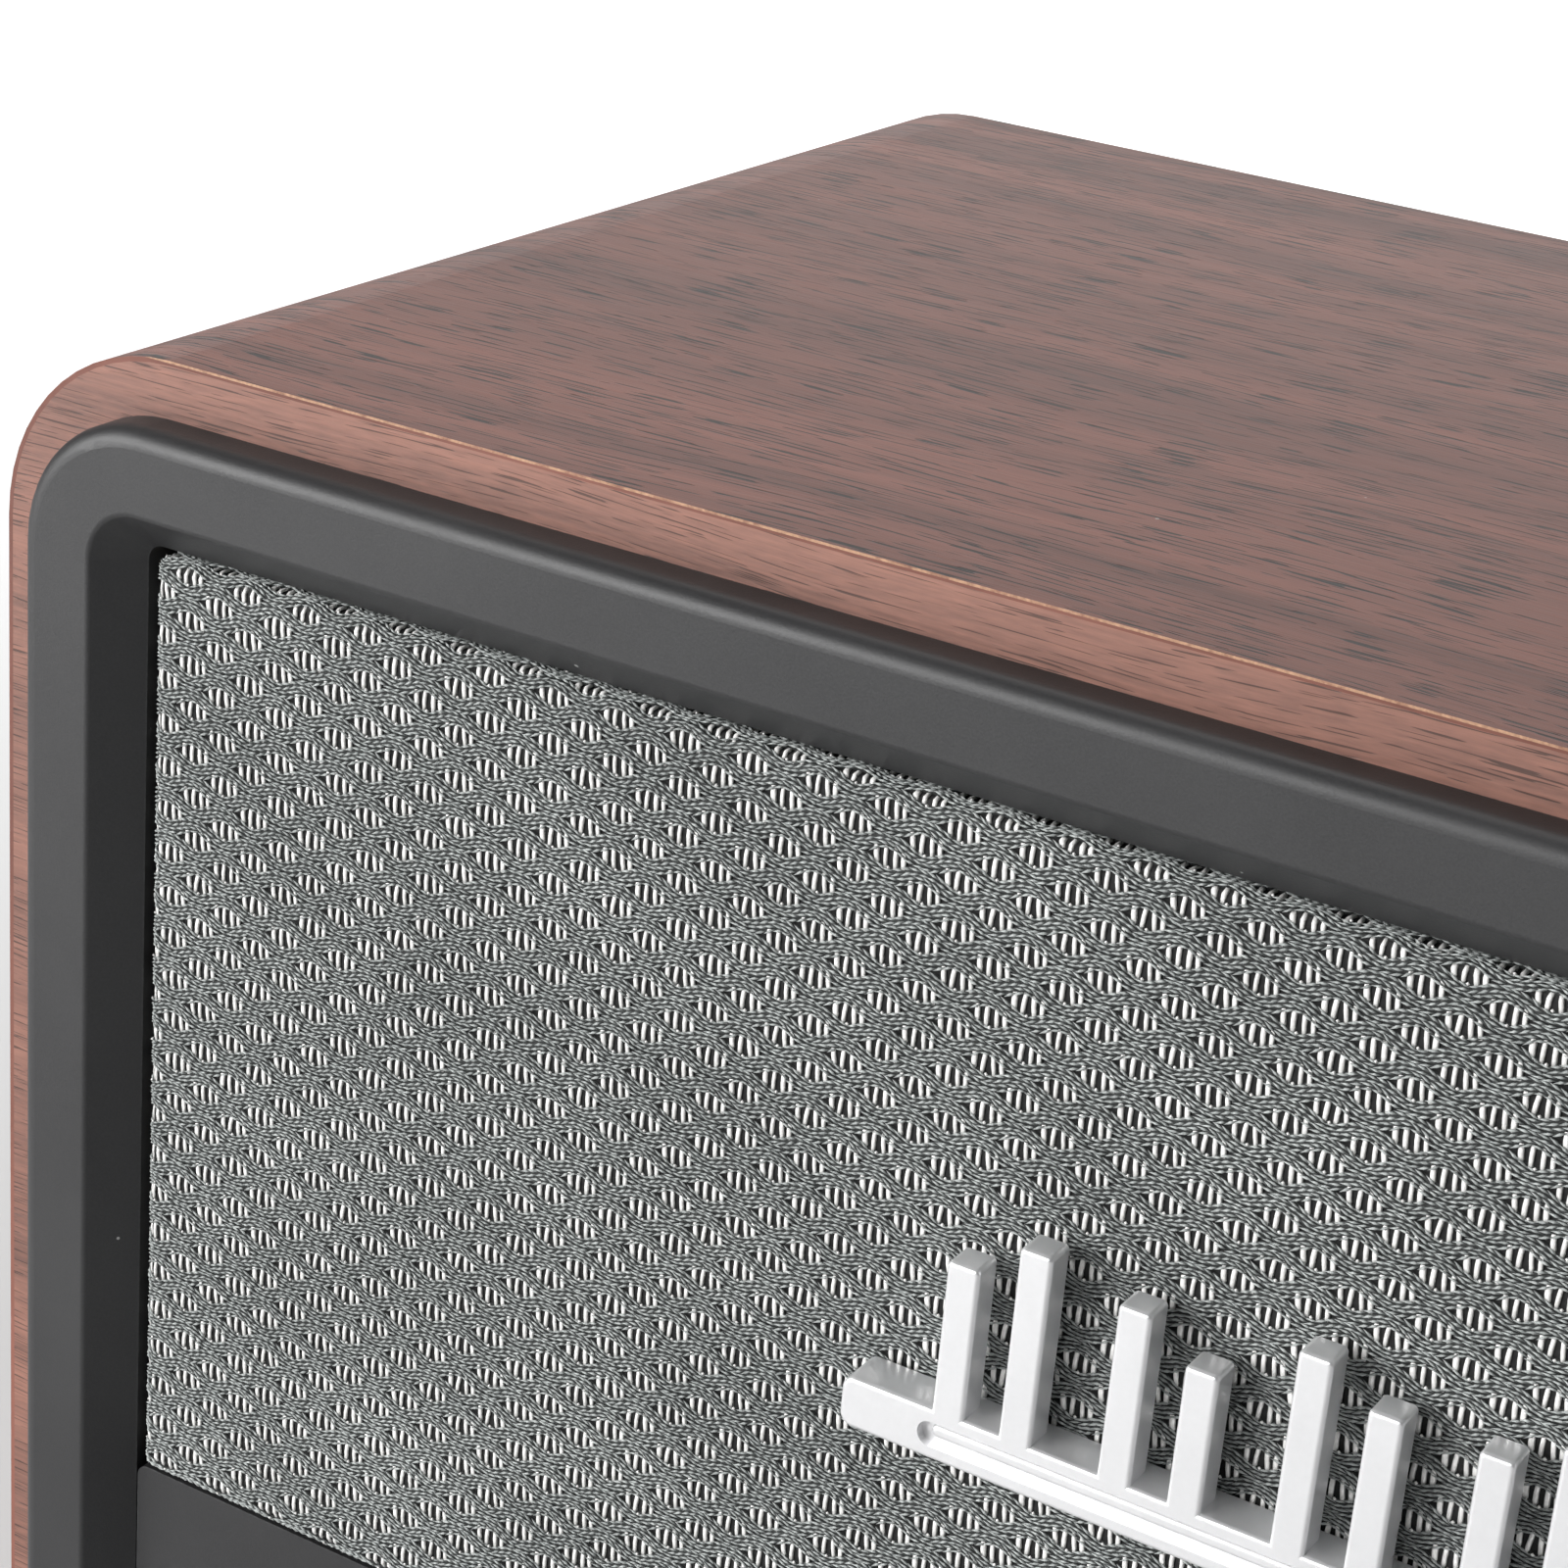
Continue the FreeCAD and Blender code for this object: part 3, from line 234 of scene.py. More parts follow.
cabinetLow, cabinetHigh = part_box("veneer_wrap")
cabinetCorner = 20 * mm       # outer radius of the four long corners
cabinetMiddle = (cabinetLow.z + cabinetHigh.z) / 2
cabinetHalf = (cabinetHigh.x, (cabinetHigh.z - cabinetLow.z) / 2)
dust = makeDust()
mouldGrain = makeMouldGrain()
edgeWear = makeEdgeWear()
woodGrain = makeWoodGrain()
wrapFlow = makeWrapFlow(cabinetHalf, cabinetCorner, cabinetMiddle)
turnedLines = makeTurnedLines()
yarnFibre = makeYarnFibre()
print("shared effects ready")


# Finishes

veneerSet = {
    "topDark": rgb(0.084, 0.031, 0.023), "topLight": rgb(0.292, 0.112, 0.080),
    "frontDark": rgb(0.100, 0.048, 0.038), "frontLight": rgb(0.370, 0.170, 0.122),
    "pore": rgb(0.016, 0.008, 0.006), "rawDark": rgb(0.22, 0.11, 0.07),
    "rawLight": rgb(0.66, 0.40, 0.25), "rawThick": 0.24 * mm,
    # how rare the pores are and how fine; the facing takes another slice of the same grain
    "topPores": 0.598, "topPoreFine": 2300.0, "frontPores": 0.61, "frontPoreFine": 4800.0,
    "frontOffset": 0.31, "rawDeep": 0.03 * mm,
}


def veneerWrapMaterial():
    material, tree, shader, place = startMaterial("wrapVeneer", Specular_IOR_Level=0.35)
    flow = useGroup(tree, wrapFlow, Place=place)["Flow"]
    grain = useGroup(tree, woodGrain, Flow=flow, Pores=veneerSet["topPores"],
                     PoreFine=veneerSet["topPoreFine"])
    tone = calc(tree, "ADD", calc(tree, "MULTIPLY", grain["Band"], 0.72),
                calc(tree, "MULTIPLY", grain["Fibre"], 0.28))
    colour = paint(tree, tone, veneerSet["topDark"], veneerSet["topLight"])
    _, y, z = step(tree, "SeparateXYZ", place).outputs
    cut = calc(tree, "LESS_THAN", y, cabinetLow.y + veneerSet["rawDeep"])
    pore = calc(tree, "MULTIPLY", grain["Pore"], calc(tree, "SUBTRACT", 1.0, cut))
    colour = paint(tree, pore, colour, veneerSet["pore"])
    chips = window(tree, noise(tree, place, 700.0, 3.0, 0.7), 0.30, 0.55, 0.2, 1.0)
    raw = calc(tree, "MULTIPLY", cut, chips)
    outer = calc(tree, "GREATER_THAN", z, cabinetHigh.z - veneerSet["rawThick"])
    raw = calc(tree, "MULTIPLY", raw, outer)
    fleck = noise(tree, place, 2600.0, 2.0)
    rawColour = paint(tree, fleck, veneerSet["rawDark"], veneerSet["rawLight"])
    colour = paint(tree, raw, colour, rawColour)
    specks = useGroup(tree, dust, Place=place, Cells=260.0, Amount=0.06, Size=0.05)["Mask"]
    colour = paint(tree, calc(tree, "MULTIPLY", specks, 0.6), colour, rgb(0.5, 0.48, 0.45))
    rough = window(tree, grain["Fibre"], 0.0, 1.0, 0.33, 0.42)
    feed(shader, {"Base Color": colour, "Roughness": rough})
    height = calc(tree, "SUBTRACT", calc(tree, "MULTIPLY", grain["Fibre"], 0.15), pore)
    addRelief(tree, shader, height, 0.12 * mm, 0.8)
    return material


def frontVeneerMaterial():
    material, tree, shader, place = startMaterial("frontVeneer", Coat_Weight=0.08,
                                                  Coat_Roughness=0.4)
    x, _, z = step(tree, "SeparateXYZ", place).outputs
    flow = step(tree, "CombineXYZ", x, z, veneerSet["frontOffset"]).outputs[0]
    grain = useGroup(tree, woodGrain, Flow=flow, Pores=veneerSet["frontPores"],
                     PoreFine=veneerSet["frontPoreFine"])
    tone = calc(tree, "ADD", calc(tree, "MULTIPLY", grain["Band"], 0.45),
                calc(tree, "MULTIPLY", grain["Fibre"], 0.30))
    tone = calc(tree, "ADD", tone, calc(tree, "MULTIPLY", grain["Ray"], 0.25))
    colour = paint(tree, tone, veneerSet["frontDark"], veneerSet["frontLight"])
    colour = paint(tree, calc(tree, "MULTIPLY", grain["Pore"], 0.7), colour, veneerSet["pore"])
    feed(shader, {"Base Color": colour, "Roughness": window(tree, grain["Ray"], 0, 1, 0.42, 0.58)})
    height = calc(tree, "SUBTRACT", calc(tree, "MULTIPLY", grain["Ray"], 0.35), grain["Pore"])
    addRelief(tree, shader, height, 0.04 * mm, 0.55)
    return material


def mouldedMaterial(name, dark, light, rough, grainScale=3500.0, bump=0.5, dusty=0.05, wear=0.15):
    material, tree, shader, place = startMaterial(name)
    grain = useGroup(tree, mouldGrain, Place=place, Scale=grainScale)
    colour = paint(tree, window(tree, grain["Tone"], 0.35, 0.65), rgb(*dark), rgb(*light))
    worn = useGroup(tree, edgeWear, Place=place, Width=0.35 * mm, Breaks=1200.0)["Mask"]
    colour = paint(tree, calc(tree, "MULTIPLY", worn, wear), colour, rgb(0.32, 0.33, 0.34))
    specks = useGroup(tree, dust, Place=place, Cells=230.0, Amount=dusty, Size=0.055)["Mask"]
    colour = paint(tree, calc(tree, "MULTIPLY", specks, 0.7), colour, rgb(0.55, 0.55, 0.54))
    feed(shader, {"Base Color": colour,
                  "Roughness": window(tree, grain["Tone"], 0.3, 0.7, rough - 0.06, rough + 0.08)})
    addRelief(tree, shader, grain["Height"], 0.03 * mm, bump)
    return material


def fibreboardMaterial():
    material, tree, shader, place = startMaterial("rawFibreboard", Roughness=0.85)
    flakes = noise(tree, stretch(tree, place, (700.0, 1400.0, 700.0)), 1.0, 4.0, 0.7)
    layers = noise(tree, stretch(tree, place, (30.0, 900.0, 30.0)), 1.0, 2.0)
    tone = calc(tree, "ADD", calc(tree, "MULTIPLY", flakes, 0.7),
                calc(tree, "MULTIPLY", layers, 0.3))
    feed(shader, {"Base Color": paint(tree, window(tree, tone, 0.3, 0.7), rgb(0.24, 0.15, 0.09),
                                      rgb(0.48, 0.34, 0.22))})
    addRelief(tree, shader, flakes, 0.12 * mm, 0.7)
    return material


def silverPaintMaterial():
    # satin silver with a fine metal grain
    material, tree, shader, place = startMaterial("satinSilver", Metallic=0.6, Roughness=0.29,
                                                  Coat_Weight=0.4, Coat_Roughness=0.15)
    grain = noise(tree, place, 1400.0, 2.0, 0.6)
    slow = noise(tree, place, 160.0, 2.0)
    tone = calc(tree, "ADD", calc(tree, "MULTIPLY", grain, 0.4), calc(tree, "MULTIPLY", slow, 0.6))
    feed(shader, {"Base Color": paint(tree, tone, rgb(0.80, 0.80, 0.81), rgb(0.92, 0.92, 0.93))})
    return material


def metalMaterial(name, dark, light, rough, metallic=1.0, streaks=(40.0, 40.0, 2500.0), wear=0.0,
                  bump=0.25):
    material, tree, shader, place = startMaterial(name, Metallic=metallic)
    lines = noise(tree, stretch(tree, place, streaks), 1.0, 3.0, 0.6)
    smear = noise(tree, place, 120.0, 3.0, 0.6)
    tone = calc(tree, "ADD", calc(tree, "MULTIPLY", lines, 0.5), calc(tree, "MULTIPLY", smear, 0.5))
    colour = paint(tree, window(tree, tone, 0.3, 0.7), rgb(*dark), rgb(*light))
    if wear:
        worn = useGroup(tree, edgeWear, Place=place, Width=0.3 * mm, Breaks=1500.0)["Mask"]
        colour = paint(tree, calc(tree, "MULTIPLY", worn, wear), colour, rgb(0.62, 0.62, 0.6))
    feed(shader, {"Base Color": colour,
                  "Roughness": window(tree, smear, 0.3, 0.7, rough * 0.75, rough * 1.25)})
    addRelief(tree, shader, lines, 0.01 * mm, bump)
    return material


def spunMaterial(name, centre):
    # a turned metal face: rings round the knob's axis, at x and z of centre
    material, tree, shader, place = startMaterial(name, Metallic=1.0)
    x, _, z = step(tree, "SeparateXYZ", place).outputs
    sideways = calc(tree, "SUBTRACT", x, centre.x)
    upright = calc(tree, "SUBTRACT", z, centre.z)
    radius = calc(tree, "SQRT", calc(tree, "ADD", calc(tree, "MULTIPLY", sideways, sideways),
                                     calc(tree, "MULTIPLY", upright, upright)))
    rings = useGroup(tree, turnedLines, Radius=radius, Pitch=9000.0)["Height"]
    feed(shader, {"Base Color": paint(tree, rings, rgb(0.45, 0.45, 0.46), rgb(0.82, 0.82, 0.83)),
                  "Roughness": window(tree, rings, 0.3, 0.7, 0.22, 0.38)})
    addRelief(tree, shader, rings, 0.02 * mm, 0.5)
    return material


def circuitMaterial():
    material, tree, shader, place = startMaterial("greenBoard", Coat_Weight=0.3,
                                                  Coat_Roughness=0.25)
    cells = feed(step(tree, "TexBrick"), {"Vector": stretch(tree, place, (160.0, 160.0, 160.0)),
                                          "Scale": 1.0, "Mortar Size": 0.05})
    track = noise(tree, stretch(tree, place, (900.0, 140.0, 140.0)), 1.0, 0.0)
    copper = calc(tree, "GREATER_THAN", track, 0.53)
    colour = paint(tree, copper, rgb(0.010, 0.075, 0.030), rgb(0.020, 0.16, 0.065))
    colour = paint(tree, calc(tree, "MULTIPLY", cells.outputs["Fac"], 0.5), colour,
                   rgb(0.03, 0.24, 0.10))
    feed(shader, {"Base Color": colour, "Roughness": window(tree, track, 0.3, 0.7, 0.3, 0.5)})
    addRelief(tree, shader, copper, 0.03 * mm, 0.5)
    return material


def lensMaterial():
    material, tree, shader, place = startMaterial("smokedWindow", Metallic=0.0, IOR=1.49,
                                                  Transmission_Weight=0.9)
    smear = noise(tree, place, 70.0, 3.0, 0.6)
    feed(shader, {"Base Color": paint(tree, smear, rgb(0.20, 0.21, 0.23), rgb(0.30, 0.31, 0.33)),
                  "Roughness": window(tree, smear, 0.35, 0.7, 0.03, 0.10)})
    return material


def glowMaterial():
    material, tree, shader, place = startMaterial("litSegments", Roughness=0.5,
                                                  Emission_Strength=1.3)
    dim = noise(tree, place, 900.0, 2.0)
    colour = paint(tree, dim, rgb(0.30, 0.75, 0.85), rgb(0.55, 0.95, 1.0))
    feed(shader, {"Base Color": colour, "Emission Color": colour})
    return material


def rubberMaterial():
    material, tree, shader, place = startMaterial("mouldedRubber")
    grain = useGroup(tree, mouldGrain, Place=place, Scale=1800.0)
    bloom = noise(tree, place, 220.0, 4.0, 0.6)
    feed(shader, {"Base Color": paint(tree, bloom, rgb(0.012, 0.012, 0.012),
                                      rgb(0.045, 0.044, 0.042)),
                  "Roughness": window(tree, bloom, 0.3, 0.7, 0.6, 0.85)})
    addRelief(tree, shader, grain["Height"], 0.05 * mm, 0.6)
    return material


def paperMaterial():
    material, tree, shader, place = startMaterial("pulpCone", Roughness=0.8)
    fibres = noise(tree, place, 1600.0, 4.0, 0.7, 1.0)
    feed(shader, {"Base Color": paint(tree, window(tree, fibres, 0.35, 0.7),
                                      rgb(0.015, 0.015, 0.016), rgb(0.075, 0.073, 0.07))})
    addRelief(tree, shader, fibres, 0.08 * mm, 0.7)
    return material


def yarnMaterial(name, dark, light, rough, sheen, metallic=0.0):
    material, tree, shader, place = startMaterial(name, Roughness=rough, Metallic=metallic,
                                                  Sheen_Weight=sheen, Sheen_Roughness=0.5)
    fibre = useGroup(tree, yarnFibre, Place=place)
    feed(shader, {"Base Color": paint(tree, fibre["Tone"], rgb(*dark), rgb(*light))})
    addRelief(tree, shader, fibre["Height"], 0.04 * mm, 0.6)
    return material


ribbonSet = {"wirePitch": 1.27 * mm, "redFrom": 9.8 * mm}


def ribbonMaterial():
    material, tree, shader, place = startMaterial("flatCable", Roughness=0.5)
    x, _, _ = step(tree, "SeparateXYZ", place).outputs
    ridge = calc(tree, "SINE", calc(tree, "MULTIPLY", x, 2 * math.pi / ribbonSet["wirePitch"]))
    stripe = calc(tree, "GREATER_THAN", x, ribbonSet["redFrom"])
    colour = paint(tree, window(tree, ridge, -1, 1), rgb(0.20, 0.21, 0.22), rgb(0.42, 0.43, 0.44))
    feed(shader, {"Base Color": paint(tree, stripe, colour, rgb(0.45, 0.03, 0.02))})
    addRelief(tree, shader, ridge, 0.2 * mm, 0.8)
    return material


def dress(material, *nodes):
    for name in nodes:
        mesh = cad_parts[name].data
        mesh.materials.clear()
        mesh.materials.append(material)


plasticSet = {
    # material: the nodes that wear it, and its values
    "bezelPlastic": (["front_bezel"],
                     {"dark": (0.018, 0.018, 0.019), "light": (0.030, 0.030, 0.031), "rough": 0.45,
                      "grainScale": 4200.0, "dusty": 0.10}),
    "panelPlastic": (["control_panel"],
                     {"dark": (0.018, 0.018, 0.019), "light": (0.030, 0.030, 0.031), "rough": 0.45,
                      "grainScale": 4200.0}),
    "buttonPlastic": (["button_standby", "button_source", "button_preset", "button_menu"],
                      {"dark": (0.085, 0.086, 0.088), "light": (0.115, 0.116, 0.118), "rough": 0.38,
                       "grainScale": 5200.0, "bump": 0.3}),
    "blackPlastic": (["grille_frame", "tact_switches", "board_standoffs", "terminal_plate",
                      "aux_jack", "headphone_jack", "dc_inlet", "rocker_frame"],
                     {"dark": (0.010, 0.010, 0.011), "light": (0.030, 0.030, 0.031), "rough": 0.5,
                      "grainScale": 2600.0}),
    "rockerPlastic": (["power_rocker"],
                      {"dark": (0.012, 0.012, 0.013), "light": (0.022, 0.022, 0.023), "rough": 0.22,
                       "grainScale": 900.0, "bump": 0.1}),
    "rearLaminate": (["rear_panel"],
                     {"dark": (0.016, 0.016, 0.016), "light": (0.036, 0.036, 0.035), "rough": 0.62,
                      "grainScale": 1500.0, "bump": 0.8, "dusty": 0.08, "wear": 0.3}),
    "whiteNylon": (["board_connectors"],
                   {"dark": (0.62, 0.60, 0.55), "light": (0.80, 0.78, 0.72), "rough": 0.45,
                    "grainScale": 2600.0, "bump": 0.3}),
    "sleevePlastic": (["filter_capacitors"],
                      {"dark": (0.012, 0.012, 0.035), "light": (0.03, 0.03, 0.07), "rough": 0.3,
                       "grainScale": 900.0, "bump": 0.2}),
    "displayFace": (["display_module"],
                    {"dark": (0.006, 0.010, 0.014), "light": (0.012, 0.018, 0.024), "rough": 0.35,
                     "grainScale": 1800.0, "bump": 0.2}),
}
metalSet = {
    "zincCase": (["volume_control", "tuning_control"],
                 {"dark": (0.42, 0.42, 0.42), "light": (0.62, 0.62, 0.61), "rough": 0.42}),
    "platedSteel": (["bushing_nuts", "tuner_module", "foot_screws", "aerial_mount", "volume_shaft",
                     "tuning_shaft"],
                    {"dark": (0.48, 0.47, 0.44), "light": (0.70, 0.69, 0.66), "rough": 0.32}),
    "finStock": (["heat_sink"],
                 {"dark": (0.34, 0.35, 0.37), "light": (0.56, 0.57, 0.59), "rough": 0.4,
                  "streaks": (60.0, 60.0, 3000.0)}),
    "blackSteel": (["left_basket", "right_basket"],
                   {"dark": (0.014, 0.014, 0.014), "light": (0.04, 0.04, 0.04), "rough": 0.45,
                    "metallic": 0.3, "wear": 0.5}),
    "blackOxide": (["driver_screws", "rear_screws", "plate_screws"],
                   {"dark": (0.02, 0.02, 0.021), "light": (0.07, 0.07, 0.07), "rough": 0.38,
                    "metallic": 0.7, "wear": 0.8}),
    "ferrite": (["speaker_magnets"],
                {"dark": (0.035, 0.035, 0.037), "light": (0.075, 0.075, 0.078), "rough": 0.55,
                 "metallic": 0.35, "streaks": (900.0, 900.0, 900.0), "bump": 0.6}),
    "chromePlate": (["aerial_swivel", "aerial_pin", "aerial_knuckle", "aerial_tube", "aerial_rod_1",
                     "aerial_rod_2", "aerial_rod_3"],
                    {"dark": (0.72, 0.72, 0.73), "light": (0.86, 0.86, 0.87), "rough": 0.09,
                     "streaks": (500.0, 500.0, 30.0), "bump": 0.06}),
}


def dressFrame():
    for make, finishes in ((mouldedMaterial, plasticSet), (metalMaterial, metalSet)):
        for name, (nodes, values) in finishes.items():
            dress(make(name, **values), *nodes)
    dress(veneerWrapMaterial(), "veneer_wrap")
    dress(frontVeneerMaterial(), "front_veneer")
    dress(fibreboardMaterial(), "cabinet_core", "baffle_board", "corner_blocks")
    dress(silverPaintMaterial(), "badge")
    dress(lensMaterial(), "display_lens")
    dress(circuitMaterial(), "front_board", "main_board")
    dress(rubberMaterial(), "rubber_feet", "cone_surrounds")
    dress(paperMaterial(), "left_cone", "right_cone")
    dress(ribbonMaterial(), "ribbon_cable")
    for side in ("volume", "tuning"):
        low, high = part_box(side + "_cap")
        dress(spunMaterial(side + "SpunCap", (low + high) / 2), side + "_cap")


dressFrame()
print("frame dressed")


# Meshes

def addPiece(name, points, faces, material, body="cabinet", smooth=True):
    mesh = bpy.data.meshes.new(name)
    points, faces = np.asarray(points, dtype=np.float32), np.asarray(faces, dtype=np.int32)
    sides = faces.shape[1]
    mesh.vertices.add(len(points))
    mesh.vertices.foreach_set("co", points.ravel())
    mesh.loops.add(faces.size)
    mesh.loops.foreach_set("vertex_index", faces.ravel())
    mesh.polygons.add(len(faces))
    mesh.polygons.foreach_set("loop_start", np.arange(0, faces.size, sides, dtype=np.int32))
    mesh.update(calc_edges=True)
    mesh.polygons.foreach_set("use_smooth", np.full(len(faces), smooth))
    return finishPiece(mesh, material, body)


def finishPiece(mesh, material, body="cabinet"):
    mesh.materials.append(material)
    piece = bpy.data.objects.new(mesh.name, mesh)
    bpy.context.scene.collection.objects.link(piece)
    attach(piece, body)
    return piece


def addPlates(name, shapes, front, back, material, body="cabinet"):
    # thin upright plates, each an outline in x and z, from y = front to y = back
    points, faces = [], []
    for shape in shapes:
        first, count = len(points), len(shape)
        points += [(x, front, z) for x, z in shape] + [(x, back, z) for x, z in shape]
        faces.append(range(first, first + count))
        faces.append(range(first + 2 * count - 1, first + count - 1, -1))
        for side in range(count):
            after = (side + 1) % count
            faces.append((first + side, first + count + side, first + count + after, first + after))
    mesh = bpy.data.meshes.new(name)
    mesh.from_pydata(points, [], [tuple(face) for face in faces])
    return finishPiece(mesh, material, body)


def copies(pattern, count, span):
    # the faces of one small shape, repeated for count copies of span points each
    first = np.arange(count)[:, None, None] * span
    return (first + np.asarray(pattern)).reshape(-1, len(pattern[0]))


# Grille cloth: an openwork knit, stretched round its frame

clothSet = {
    "cell": 7.05 * mm, "row": 2.265 * mm, "lean": 0.0596, "slope": 0.0175,
    "anchor": (-57.66 * mm, 161.0 * mm), "sway": 0.44 * mm,
    "bandHalf": 0.70 * mm, "spread": 0.22 * mm, "stitch": 0.87 * mm,
    "roll": 1.4 * mm, "turnIn": 2.6 * mm,
    "legLong": 0.74 * mm, "legWide": 0.122 * mm, "legHigh": 0.16 * mm, "legSlant": 0.14,
    "strandHalf": 1.20 * mm, "knot": (0.07 * mm, -0.84 * mm, 0.19 * mm), "seed": 7,
    "deep": 0.55 * mm,        # from the scrim's face out to the crest of the stitches
    "scrimThick": 0.12 * mm, "pieces": 3,
    # the four rows of legs of a band, its two chains: place over the band and way of slanting
    "legRows": [(-0.78, -1), (-0.26, 1), (0.26, -1), (0.78, 1)],
    # the bed of yarn under a band: place over the band and height above the scrim, in mm
    "groundRows": [(-0.96, 0.12), (0.0, 0.32), (0.96, 0.12)],
    # each strand of an eye: top and bottom in x from the eye's middle, and half its width, in mm
    "strands": [(-1.46, -1.25, 0.285), (-0.39, -0.49, 0.24), (0.46, 0.63, 0.245),
                (1.29, 1.43, 0.265)],
    # how uneven the work is: places of stitches, their turn, depth and size, strands and eyes
    "loose": 0.07, "turnLoose": 0.05, "depthLoose": 0.07, "sizeLoose": (0.9, 1.08),
    "strandLoose": (0.9, 1.1), "tiltLoose": 0.05 * mm, "eyeLoose": 0.04 * mm,
}
clothLow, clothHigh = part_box("grille_cloth")
clothMiddle = (clothLow + clothHigh) / 2
clothHalf = (clothHigh - clothLow) / 2
weaveDeep = clothSet["deep"]


def wrapPoints(u, v, lift):
    # u and v run over the flat cloth from its middle; past the frame's edge it rolls backwards
    roll = clothSet["roll"] - weaveDeep
    flatWide, flatHigh = clothHalf.x - clothSet["roll"], clothHalf.z - clothSet["roll"]
    overU = np.maximum(np.abs(u) - flatWide, 0)
    overV = np.maximum(np.abs(v) - flatHigh, 0)
    over = np.hypot(overU, overV)
    turn = np.minimum(over / clothSet["roll"], math.pi / 2)
    share = np.where(over > 0, (roll + lift) * np.sin(turn) / np.maximum(over, 1e-9), 0)
    past = np.maximum(over - clothSet["roll"] * math.pi / 2, 0)
    x = clothMiddle.x + np.sign(u) * (np.minimum(np.abs(u), flatWide) + overU * share)
    z = clothMiddle.z + np.sign(v) * (np.minimum(np.abs(v), flatHigh) + overV * share)
    y = clothLow.y + clothSet["roll"] - (roll + lift) * np.cos(turn) + past
    return np.stack([x, y, z], axis=-1)


def overhang(u, v):
    overU = np.maximum(np.abs(u) - clothHalf.x + clothSet["roll"], 0)
    overV = np.maximum(np.abs(v) - clothHalf.z + clothSet["roll"], 0)
    return np.hypot(overU, overV)


clothReach = clothSet["roll"] * math.pi / 2 + clothSet["turnIn"]
lobeFaces = [(0, 2, 4), (0, 4, 3), (0, 3, 5), (0, 5, 2), (1, 4, 2), (1, 3, 4), (1, 5, 3), (1, 2, 5)]


def lobes(u, v, turn, long, wide, high, lift):
    # spindle-shaped stitches of yarn, each six points in the cloth's own coordinates
    cos, sin = np.cos(turn), np.sin(turn)
    zero = np.zeros_like(u)
    ends = [(long * cos, long * sin, zero), (-long * cos, -long * sin, zero),
            (wide * sin, -wide * cos, zero), (-wide * sin, wide * cos, zero),
            (zero, zero, zero + high), (zero, zero, zero - high)]
    points = [wrapPoints(u + a, v + b, lift + c) for a, b, c in ends]
    return np.stack(points, axis=1).reshape(-1, 3)


def bandLine(number, u, share):
    # height of a line of stitches at u; share runs over the band from its lower to its upper edge
    start = clothSet["anchor"][0] - clothMiddle.x
    lean = clothSet["lean"] * clothSet["row"] * number
    first = start + (number % 2) * clothSet["cell"] / 2 + lean
    phase = 2 * math.pi * (u - first) / clothSet["cell"]
    level = clothSet["anchor"][1] - clothMiddle.z - clothSet["row"] * (number + 0.5)
    half = clothSet["bandHalf"] + clothSet["spread"] * np.sin(phase) ** 2
    v = level - clothSet["slope"] * (u - start) - clothSet["sway"] * np.cos(phase) + share * half
    return v, half


def rowRange():
    # some rows more than the face holds, since the cloth turns over its frame and slopes
    top = (clothSet["anchor"][1] - clothMiddle.z - clothHalf.z - 5 * mm) / clothSet["row"]
    bottom = (clothSet["anchor"][1] - clothMiddle.z + clothHalf.z + 7 * mm) / clothSet["row"]
    return range(math.floor(top), math.ceil(bottom))


def makeBands(material, random):
    span = clothHalf.x + clothSet["turnIn"] + 1 * mm
    stitches = np.arange(-span, span, clothSet["stitch"])
    batches, pieces = [], []
    for number in rowRange():
        for share, leg in clothSet["legRows"]:
            chain = 1 if share > 0 else -1
            loose = random.uniform(-clothSet["loose"], clothSet["loose"], len(stitches))
            u = stitches + loose * clothSet["stitch"]
            u = u + (number * 0.37 + chain * 0.21) % 1 * clothSet["stitch"]     # out of step
            v, half = bandLine(number, u, share)
            ahead, _ = bandLine(number, u + clothSet["stitch"] / 4, share)
            turn = np.arctan((ahead - v) / (clothSet["stitch"] / 4)) - leg * clothSet["legSlant"]
            turn = turn + random.normal(0, clothSet["turnLoose"], len(u))
            sunk = random.uniform(0.0, clothSet["depthLoose"], len(u)) * mm
            lift = weaveDeep - clothSet["legHigh"] - sunk
            size = random.uniform(*clothSet["sizeLoose"], len(u))
            wide = clothSet["legWide"] * (half / clothSet["bandHalf"]) ** 0.8
            batches.append((u, v, turn, clothSet["legLong"] * size, wide, lift))
    stitched = np.stack([np.concatenate(column) for column in zip(*batches)])
    u, v, turn, long, wide, lift = stitched[:, overhang(stitched[0], stitched[1]) < clothReach]
    order = np.argsort(-v, kind="stable")
    share = math.ceil(len(order) / clothSet["pieces"])
    for number in range(clothSet["pieces"]):
        chosen = order[number * share:(number + 1) * share]
        points = lobes(u[chosen], v[chosen], turn[chosen], long[chosen], wide[chosen],
                       clothSet["legHigh"], lift[chosen])
        faces = copies(lobeFaces, len(chosen), 6)
        pieces.append(addPiece("grilleKnit%d" % (number + 1), points, faces, material))
    print("knit stitches", len(order))
    return pieces


